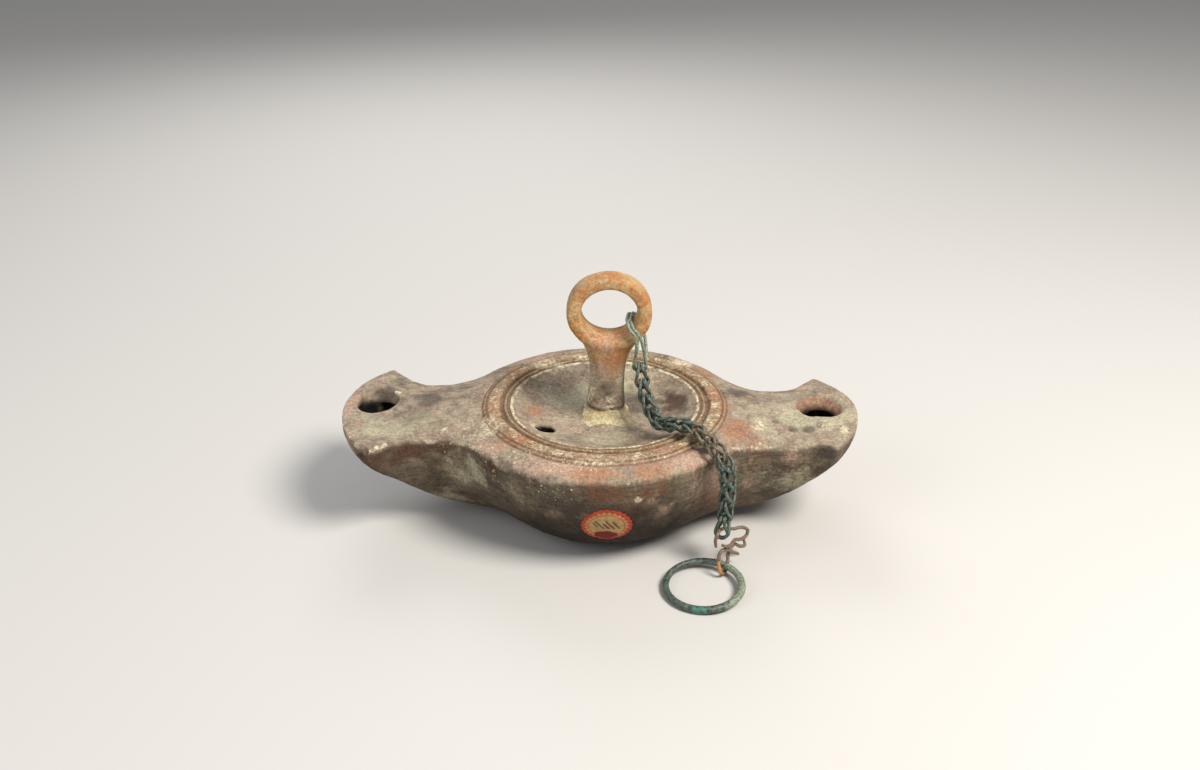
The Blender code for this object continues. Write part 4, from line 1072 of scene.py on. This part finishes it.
def clay_material():
    """Fired clay: mottled, stained and crusted with lime, with painted shade in its hollows and
    low on the bowl and painted highlights along its edges.
    """
    shader = Shader("worn_clay")
    tint = shader.tint
    broad = shader.noise(0.012, 6.0, 0.65)
    middle = shader.noise(0.0036, 6.0, 0.68)
    fine = shader.noise(0.0012, 5.0, 0.7)
    grain = shader.noise(0.00040, 3.0, 0.75)
    clouds = shader.noise(0.0075, 6.0, 0.7, distortion=0.4)
    streaks = shader.noise(0.0030, 5.0, 0.65, stretch=(0.22, 0.22, 2.2))
    stir = shader.math("MULTIPLY_ADD", middle, 1.7, -0.85)
    stir = shader.math("ADD", stir, shader.math("MULTIPLY_ADD", fine, 1.1, -0.55))
    stir = shader.math("ADD", stir, shader.math("MULTIPLY_ADD", clouds, 1.2, -0.60))

    def share(name, low, high, amount=1.0):
        value = shader.math("ADD", shader.mask(name), shader.math("MULTIPLY", stir, 0.55))
        value = shader.math("MULTIPLY", value, shader.ramp(shader.mask(name), 0.02, 0.25))
        return shader.ramp(value, low, high, 0.0, amount)

    colour = tint(srgb(150, 132, 114), broad, 0.38, 0.62, srgb(178, 162, 138))
    colour = tint(colour, middle, 0.44, 0.64, srgb(126, 108, 94), 0.60)
    colour = tint(colour, clouds, 0.50, 0.66, srgb(192, 176, 148), 0.55)
    bowl = tint(srgb(99, 86, 70), broad, 0.38, 0.62, srgb(134, 119, 97))
    bowl = tint(bowl, streaks, 0.44, 0.66, srgb(70, 58, 48), 0.55)
    bowl = tint(bowl, middle, 0.46, 0.66, srgb(78, 64, 52), 0.35)
    bowl = tint(bowl, clouds, 0.52, 0.70, srgb(142, 128, 106), 0.5)
    colour = shader.mix(shader.mask("bowl"), colour, bowl)
    handle = tint(srgb(192, 132, 80), clouds, 0.40, 0.60, srgb(206, 170, 118))
    handle = tint(handle, middle, 0.48, 0.66, srgb(196, 176, 134), 0.8)
    handle = tint(handle, fine, 0.55, 0.70, srgb(150, 104, 66), 0.5)
    colour = shader.mix(shader.mask("handle"), colour, handle)
    rim = tint(srgb(150, 112, 74), fine, 0.40, 0.62, srgb(186, 156, 112))
    red = tint(srgb(166, 104, 72), middle, 0.36, 0.64, srgb(192, 138, 100))
    red = shader.mix(shader.mask("bowl"), red, srgb(122, 78, 48))
    # The cream colour paints lime crust and, along the edges, painted highlights; the soot
    # patches' dark colour paints soot and, where those patches stand for it, painted shade.
    cream = tint(srgb(208, 186, 146), fine, 0.35, 0.65, srgb(236, 224, 196))
    for name, low, high, amount, paint in (
            ("rim", 0.20, 1.30, 0.70, rim),
            ("pink", 0.15, 0.95, 0.70, srgb(202, 166, 144)),
            ("ash", 0.20, 0.90, 0.80, srgb(190, 182, 152)),
            ("soot_and_shade", 0.20, 0.95, 0.75, srgb(84, 75, 66)),
            ("rust", 0.15, 0.75, 0.85, srgb(88, 62, 46)),
            ("red", 0.10, 1.10, 0.66, red),
            ("groove", 0.25, 0.85, 0.62, srgb(92, 66, 44)),
            ("cream", 0.35, 0.85, 0.90, cream)):
        colour = shader.mix(share(name, low, high, amount), colour, paint)
    flecks = shader.ramp(shader.noise(0.0011, 3.0, 0.6), 0.60, 0.66)
    flecks = shader.math("MULTIPLY", flecks, share("speck", 0.20, 0.60))
    colour = shader.mix(flecks, colour, srgb(226, 212, 184))
    plaster = tint(srgb(200, 178, 128), middle, 0.4, 0.6, srgb(230, 216, 176))
    colour = shader.mix(share("plaster", 0.30, 0.75, 0.90), colour, plaster)
    wall = tint(srgb(142, 100, 78), middle, 0.4, 0.6, srgb(168, 134, 108))
    colour = shader.mix(shader.mask("wick"), colour, wall)
    # Painted shade: the dark mask paints the holes, the chamber and the pits nearly black, and the
    # low mask darkens the bowl's lower front.
    colour = shader.mix(shader.mask("dark"), colour, srgb(14, 11, 9))
    colour = shader.mix(shader.mask("low"), colour, srgb(112, 98, 82), "MULTIPLY")
    grime = shader.math("MULTIPLY", shader.ramp(fine, 0.30, 0.70, 0.62, 1.15),
                        shader.ramp(grain, 0.30, 0.70, 0.72, 1.16))
    colour = shader.mix(1.0, colour, grime, "MULTIPLY")

    height = shader.math("MULTIPLY", middle, 0.5)
    lines = shader.noise(0.0011, 3.0, 0.5, stretch=(0.10, 0.10, 1.5))
    for part, amount in ((fine, 0.4), (grain, 0.22), (share("cream", 0.35, 0.85), 0.25),
                         (shader.math("MULTIPLY", lines, shader.mask("bowl")), 0.60)):
        height = shader.math("ADD", height, shader.math("MULTIPLY", part, amount))
    normal = shader.bump(height, 0.00060, 1.0)
    pits = shader.ramp(shader.cells(0.0026), 0.08, 0.20)
    normal = shader.bump(pits, 0.00014, 0.5, normal)
    roughness = shader.ramp(middle, 0.3, 0.7, 0.72, 0.92)
    return shader.finish(colour, roughness, normal, specular=0.32)


def bronze_material():
    """Corroded bronze: green and teal crust, brown where it has flaked."""
    shader = Shader("crusted_bronze")
    tint = shader.tint
    broad = shader.noise(0.0045, 4.0, 0.6)
    middle = shader.noise(0.0014, 5.0, 0.65)
    fine = shader.noise(0.00045, 4.0, 0.7)
    colour = tint(srgb(42, 52, 46), broad, 0.40, 0.60, srgb(70, 88, 76))
    colour = tint(colour, middle, 0.48, 0.64, srgb(100, 116, 100), 0.85)
    colour = tint(colour, fine, 0.54, 0.68, srgb(168, 174, 156), 0.80)
    colour = tint(colour, middle, 0.44, 0.32, srgb(26, 32, 31), 0.8)
    stir = shader.math("MULTIPLY_ADD", middle, 0.9, -0.45)
    brown = tint(srgb(98, 78, 62), fine, 0.4, 0.65, srgb(150, 128, 104))
    pale = tint(srgb(84, 102, 84), fine, 0.42, 0.60, srgb(184, 192, 168))
    for name, low, high, amount, paint in (
            ("brown", 0.35, 0.70, 1.0, brown),
            ("pale", 0.40, 0.75, 0.85, pale),
            ("orange", 0.45, 0.70, 1.0, srgb(196, 140, 74)),
            ("turquoise", 0.50, 0.75, 1.0, srgb(58, 138, 124))):
        value = shader.math("ADD", shader.mask(name), stir)
        colour = tint(colour, value, low, high, paint, amount)
    height = shader.math("ADD", shader.math("MULTIPLY", middle, 0.6),
                         shader.math("MULTIPLY", fine, 0.4))
    normal = shader.bump(height, 0.00030, 0.8)
    roughness = shader.ramp(middle, 0.35, 0.65, 0.34, 0.66)
    return shader.finish(colour, roughness, normal, 0.12, 0.6)


def catmull(knots, per_span, closed):
    """Points of a smooth curve through knots."""
    knots = [Vector(knot) for knot in knots]
    count = len(knots)
    if not closed:
        knots = [2.0 * knots[0] - knots[1], *knots, 2.0 * knots[-1] - knots[-2]]
    spans = count if closed else count - 1
    result = []
    for index in range(spans):
        if closed:
            before, start, end, after = (knots[(index + step) % count] for step in (-1, 0, 1, 2))
        else:
            before, start, end, after = knots[index:index + 4]
        for step in range(per_span):
            share = step / per_span
            result.append(0.5 * (2.0 * start + (end - before) * share
                                 + (2.0 * before - 5.0 * start + 4.0 * end - after) * share**2
                                 + (3.0 * start - before - 3.0 * end + after) * share**3))
    if not closed:
        result.append(knots[-2])
    return result


def tube(name, path, radii, closed, sides=10, lump=0.08, seed=0.0):
    """A corroded wire along a path, with a radius for each point."""
    count = len(path)
    points = []
    side = Vector(FIRST_SIDE)
    for index, place in enumerate(path):
        before = path[index - 1] if closed or index else path[0]
        after = path[(index + 1) % count] if closed or index + 1 < count else path[-1]
        along = (after - before).normalized()
        side = (side - along * side.dot(along)).normalized()
        up = along.cross(side)
        for turn in range(sides):
            angle = 2.0 * math.pi * turn / sides
            out = side * math.cos(angle) + up * math.sin(angle)
            spot = (place + out * WIRE) * 1000.0
            rough = (noise.noise(spot * 0.9 + Vector((seed, 0.0, 0.0)))
                     + 0.6 * noise.noise(spot * 2.3 + Vector((0.0, seed, 0.0))))
            points.append(place + out * (radii[index] * (1.0 + lump * rough)))
    # The rows turn a little on their way round a closed wire, so the last row meets
    # the first at the side where their points are closest.
    last = points[-sides:]
    shift = min(range(sides), key=lambda step: sum(
        (last[turn] - points[(turn + step) % sides]).length for turn in range(sides)))
    faces = []
    for row in range(count if closed else count - 1):
        base = row * sides
        ahead = (row + 1) % count * sides
        meet = 0 if ahead else shift
        for turn in range(sides):
            following = (turn + 1) % sides
            faces.append([base + turn, base + following, ahead + (following + meet) % sides,
                          ahead + (turn + meet) % sides])
    if not closed:
        faces += [range(sides), range((count - 1) * sides, count * sides)]
    mesh = bmesh.new()
    add_surface(mesh, points, faces)
    return new_object(name, mesh)


def folded_wire(run, cap_steps=5):
    """Closed wire of a folded loop, as along, out and across for each point."""
    def cap(along, out, width, turn):
        angles = [math.pi * step / (cap_steps + 1) for step in range(1, cap_steps + 1)]
        return [(along + 0.5 * width * math.sin(angle), out,
                 turn * 0.5 * width * math.cos(angle)) for angle in angles]

    plus = [(along, out, 0.5 * width) for along, out, width in run]
    minus = [(along, out, -0.5 * width) for along, out, width in reversed(run)]
    return plus + cap(*run[-1], 1.0) + minus + cap(*run[0], -1.0)


def link_run(pitch):
    """One folded link from its front eye over the fold to its back eye."""
    overlap = EYE_WIDTH / 2.0 + WIRE + 2.0 * CLEARANCE
    half = [
        (pitch + CLEARANCE, EYE_HALF_GAP, EYE_WIDTH),
        (overlap, FOLD_HALF_SPREAD, 0.5 * (FOLD_SPACING + EYE_WIDTH)),
        (FOLD_RISE, FOLD_HALF_SPREAD, FOLD_SPACING),
        (0.0, 0.5 * FOLD_HALF_SPREAD, FOLD_SPACING),
    ]
    return half + [(along, -out, width) for along, out, width in reversed(half)]


class Route:
    """A smooth route with a facing, so that a link can bend along it."""

    def __init__(self, places, facings, per_span=24):
        self.places = catmull(places, per_span, False)
        self.facings = catmull(facings, per_span, False)
        self.reach = [0.0]
        for start, end in zip(self.places, self.places[1:]):
            self.reach.append(self.reach[-1] + (end - start).length)

    def frame(self, distance):
        """Place, direction, facing and side at a distance along the route."""
        last = len(self.places) - 2
        index = min(max(bisect.bisect_right(self.reach, distance) - 1, 0), last)
        start, end = self.places[index], self.places[index + 1]
        down = (end - start).normalized()
        place = start + down * (distance - self.reach[index])
        facing = self.facings[index] - down * self.facings[index].dot(down)
        facing.normalize()
        return place, down, facing, down.cross(facing)

    def point(self, distance, out, across):
        """A point beside the route."""
        place, _, facing, side = self.frame(distance)
        return place + facing * out + side * across


def finish_wire(piece, node, material, **masks):
    """Give a wire its masks and material, and let it stand for its solid."""
    points, _ = mesh_arrays(piece.data)
    for name in ("brown", "pale", "orange", "turquoise"):
        values = masks[name](points) if name in masks else np.zeros(len(points))
        set_mask(piece.data, name, np.clip(values, 0.0, 1.0))
    smooth(piece, material)
    set_points(piece.data, np.clip(points, CAD_LOW, CAD_HIGH))
    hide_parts(node)
    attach(piece, "root")


def near_place(place, radius):
    """A mask that is 1 round a place."""
    def values(points):
        return 1.0 - fade(np.linalg.norm(points - np.array(place), axis=1),
                          0.5 * radius, 1.2 * radius)
    return values


def chain(material):
    """The links of the chain and the long loop that carries it."""
    route = Route(CHAIN_ROUTE, CHAIN_FACING)
    run = route.reach[-1] - CHAIN_TAIL
    count = round(run / LINK_LENGTH)
    pitch = run / count
    shape = folded_wire(link_run(pitch))

    def brown(points):
        return 0.55 * fade(points[:, 0], 0.026, 0.034) * fade(points[:, 2], 0.040, 0.046)

    def pale(points):
        return 0.35 * fade(points[:, 2], 0.0490, 0.0530) * (points[:, 0] < 0.03)

    for index in range(count):
        knots = [route.point(index * pitch + along, out, across)
                 for along, out, across in shape]
        path = catmull(knots, 3, True)
        piece = tube(f"bronze_link_{index + 1:02d}", path, [LINK_RADIUS] * len(path), True,
                     seed=3.1 * index)
        finish_wire(piece, f"chain_link_{index + 1:02d}", material, brown=brown, pale=pale)

    _, down, _, side = route.frame(0.0)
    ribbon = [route.point(CLEARANCE, EYE_HALF_GAP, 0.0),
              *(Vector(place) for place in LOOP_ROUTE),
              route.point(CLEARANCE, -EYE_HALF_GAP, 0.0)]
    last = len(ribbon) - 1
    widths = [FOLD_SPACING + (EYE_WIDTH - FOLD_SPACING) * abs(2.0 * index / last - 1.0)**3
              for index in range(last + 1)]
    ribbon_run = [(0.0, index, width) for index, width in enumerate(widths)]
    knots = [ribbon[index] + down * along + side * across
             for along, index, across in folded_wire(ribbon_run)]
    path = catmull(knots, 4, True)
    piece = tube("bronze_loop", path, [LINK_RADIUS] * len(path), True, sides=12, seed=77.0)
    finish_wire(piece, "suspension_loop", material,
                pale=lambda points: 0.9 * fade(points[:, 2], 0.062, 0.066))


def loose_wires(material):
    """The bent last link and the hook that holds the finger ring, thinner at their ends."""
    for name, node, route in (("bronze_bent_link", "bent_link", BENT_LINK_ROUTE),
                              ("bronze_hook", "ring_hook", HOOK_ROUTE)):
        path = catmull(route, 6, False)
        last = len(path) - 1
        radii = [LOOSE_WIRE_RADIUS * (0.72 + 0.28 * min(1.0, index / 6.0, (last - index) / 6.0))
                 for index in range(last + 1)]
        piece = tube(name, path, radii, False, sides=12, lump=0.13, seed=len(name))
        finish_wire(piece, node, material,
                    brown=lambda points: np.full(len(points), 0.85),
                    orange=near_place((0.0424, -0.0535, 0.0045), 0.0030))


def finger_ring(material):
    """The loose ring, crusted most at its near right side."""
    low = 0.5 * (FINGER_RING_WIRE + FINGER_RING_SWELL)
    high = low + WIRE + 2.0 * CLEARANCE
    centre_x, centre_y = FINGER_RING_CENTRE
    path = []
    radii = []
    for step in range(RING_STEPS):
        angle = 2.0 * math.pi * step / RING_STEPS
        lift = 0.5 + 0.5 * math.cos(angle - HOOK_SIDE_ANGLE)
        path.append(Vector((centre_x + FINGER_RING_RADIUS * math.cos(angle),
                            centre_y + FINGER_RING_RADIUS * math.sin(angle),
                            low + (high - low) * lift)))
        thick = 0.5 + 0.5 * math.cos(angle - FINGER_RING_SWELL_ANGLE)
        radii.append(0.485 * (FINGER_RING_WIRE + FINGER_RING_SWELL * thick))
    piece = tube("bronze_finger_ring", path, radii, True, sides=18, lump=0.05, seed=41.0)
    spot = near_place((0.0335, -0.0751, 0.0020), 0.0040)
    finish_wire(piece, "finger_ring", material,
                pale=lambda points: 0.25 + 0.5 * fade(points[:, 0], 0.0380, 0.0480),
                turquoise=lambda points: 0.62 * spot(points))


def label_material():
    """Aged paper with a red scalloped border, a dark blot and faded pen strokes."""
    shader = Shader("aged_paper")
    fine = shader.noise(0.0005, 4.0, 0.7)
    middle = shader.noise(0.0022, 4.0, 0.6)
    colour = shader.tint(srgb(188, 156, 106), middle, 0.35, 0.65, srgb(164, 130, 84))
    colour = shader.mix(shader.mask("border"), colour, srgb(174, 64, 38))
    colour = shader.mix(shader.mask("blot"), colour, srgb(112, 22, 19))
    ink = shader.math("MULTIPLY", shader.mask("ink"), shader.ramp(fine, 0.25, 0.55, 0.4, 1.0))
    colour = shader.mix(ink, colour, srgb(52, 42, 36))
    grime = shader.math("MULTIPLY_ADD", fine, 0.5, 0.75)
    colour = shader.mix(1.0, colour, grime, "MULTIPLY")
    return shader.finish(colour, 0.75, shader.bump(fine, 0.00008, 0.4), specular=0.3)


def label_sheet(lamp, across, up, facing):
    """The label's paper, with a toothed edge, laid over the bowl."""
    tree = BVHTree.FromObject(lamp, bpy.context.evaluated_depsgraph_get())
    flat = [(0.0, 0.0)]
    for ring in range(1, LABEL_RINGS + 1):
        for turn in range(LABEL_TURNS):
            angle = 2.0 * math.pi * turn / LABEL_TURNS
            tooth = 0.022 * math.cos(LABEL_TEETH * angle) * (ring / LABEL_RINGS)**6
            edge = LABEL_RADIUS * (1.0 + tooth)
            flat.append((edge * ring / LABEL_RINGS * math.cos(angle),
                         edge * ring / LABEL_RINGS * math.sin(angle)))
    points = []
    for lift in LABEL_LIFTS:
        for x, y in flat:
            start = Vector(LABEL_CENTRE) + across * x + up * y + facing * 0.02
            hit = tree.ray_cast(start, -facing)[0]
            wave = 0.5 + 0.5 * noise.noise(Vector((x, y, 0.0)) * 500.0)
            points.append(hit + facing * (lift + 0.00009 * wave))
    count = len(flat)
    rim = 1 + (LABEL_RINGS - 1) * LABEL_TURNS
    faces = []
    for turn in range(LABEL_TURNS):
        following = (turn + 1) % LABEL_TURNS
        for layer, turned in ((0, -1), (count, 1)):
            faces.append([layer, layer + 1 + turn, layer + 1 + following][::turned])
            for inner in range(layer + 1, layer + rim, LABEL_TURNS):
                outer = inner + LABEL_TURNS
                faces.append([inner + turn, outer + turn, outer + following,
                              inner + following][::turned])
        faces.append([rim + turn, rim + following, count + rim + following, count + rim + turn])
    mesh = bmesh.new()
    add_surface(mesh, points, faces)
    return new_object("paper_label", mesh)


def paper_label(lamp):
    """The old round paper label on the bowl, pasted over its curve."""
    facing = Vector((0.02, -0.93, -0.36)).normalized()
    across = Vector((0.0, 0.0, 1.0)).cross(-facing).normalized()
    up = across.cross(facing).normalized()
    label = label_sheet(lamp, across, up, facing)
    places, _ = mesh_arrays(label.data)
    offset = places - LABEL_CENTRE
    x = offset @ np.array(across) / LABEL_RADIUS
    y = offset @ np.array(up) / LABEL_RADIUS
    away = np.hypot(x, y)
    scallop = 0.05 * np.cos(LABEL_TEETH * np.arctan2(y, x))
    border = fade(away + scallop, 0.80, 0.86)
    thin = 1.0 - fade(np.abs(away - 0.72), 0.015, 0.035)
    blot = np.hypot((x - 0.02) / 0.50, (y + 0.62) / 0.34) + 0.12 * fractal(places, 0.002)
    ink = np.zeros(len(places))
    for start_x, start_y, end_x, end_y in LABEL_STROKES:
        run = np.array([end_x - start_x, end_y - start_y])
        step = np.column_stack([x - start_x, y - start_y])
        share = np.clip(step @ run / (run @ run), 0.0, 1.0)
        gap = np.linalg.norm(step - share[:, None] * run, axis=1)
        ink = np.maximum(ink, 1.0 - fade(gap, 0.020, 0.050))
    set_mask(label.data, "border", np.clip(border + 0.7 * thin, 0.0, 1.0))
    set_mask(label.data, "blot", 1.0 - fade(blot, 0.85, 1.0))
    set_mask(label.data, "ink", ink)
    smooth(label, label_material())
    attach(label, "root")


def clay_lamp():
    """The clay lamp: body, stalk and ring in one skin."""
    lamp = clay_body()
    for part in (stalk_shape(), ring_shape()):
        join = lamp.modifiers.new(part.name, "BOOLEAN")
        join.operation = "UNION"
        join.solver = "MANIFOLD"
        join.object = part
        bpy.context.view_layer.objects.active = lamp
        bpy.ops.object.modifier_apply(modifier=part.name)
        bpy.data.objects.remove(part)
    worn_surface(lamp)
    paint_clay(lamp)
    smooth(lamp, clay_material())
    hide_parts("lamp_body")
    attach(lamp, "root")
    return lamp


def plain_material(name, colour, roughness):
    """A plain surface for the floor."""
    material = bpy.data.materials.new(name)
    material.use_nodes = True
    surface = material.node_tree.nodes["Principled BSDF"]
    surface.inputs["Base Color"].default_value = colour
    surface.inputs["Roughness"].default_value = roughness
    return material


def area_light(name, place, target, size, power, colour=(1.0, 1.0, 1.0)):
    """A soft light aimed at a target."""
    data = bpy.data.lights.new(name, "AREA")
    data.shape = "DISK"
    data.size = size
    data.energy = power
    data.color = colour
    light = bpy.data.objects.new(name, data)
    light.location = place
    light.rotation_euler = (Vector(target) - Vector(place)).to_track_quat("-Z", "Y").to_euler()
    bpy.context.collection.objects.link(light)


def studio():
    """The floor, the lights and the camera."""
    mesh = bmesh.new()
    bmesh.ops.create_grid(mesh, x_segments=1, y_segments=1, size=3.0)
    floor = new_object("floor", mesh)
    floor.data.materials.append(plain_material("pale_floor", srgb(206, 203, 198), 0.9))
    bpy.context.scene.view_settings.view_transform = "Standard"
    area_light("key", (0.50, -0.36, 0.80), (0.0, 0.0, 0.03), 0.42, 12.0, (1.0, 0.96, 0.90))
    area_light("fill", (-0.60, -0.35, 0.50), (0.0, 0.0, 0.03), 0.60, 1.7, (0.95, 0.97, 1.0))
    area_light("back", (-0.15, 0.65, 0.55), (0.0, 0.0, 0.04), 0.50, 2.4)
    world = bpy.data.worlds.new("studio")
    world.use_nodes = True
    world.node_tree.nodes["Background"].inputs["Color"].default_value = (0.9, 0.93, 1.0, 1.0)
    world.node_tree.nodes["Background"].inputs["Strength"].default_value = 0.27
    bpy.context.scene.world = world
    camera_data = bpy.data.cameras.new("camera")
    camera_data.lens = 36.0
    camera_data.sensor_width = 36.0
    camera_data.clip_start = 0.01
    camera = bpy.data.objects.new("camera", camera_data)
    camera.location = (-0.0018, -0.4163, 0.2647)
    camera.rotation_euler = (math.radians(63.0), 0.0, 0.0)
    bpy.context.collection.objects.link(camera)
    bpy.context.scene.camera = camera


def box_lists(box):
    """A box as plain lists of numbers."""
    return [[float(value) for value in corner] for corner in box]


CAD_LOW, CAD_HIGH = box_lists(cad_box)
studio()
lamp_piece = clay_lamp()
bronze = bronze_material()
chain(bronze)
loose_wires(bronze)
finger_ring(bronze)
paper_label(lamp_piece)
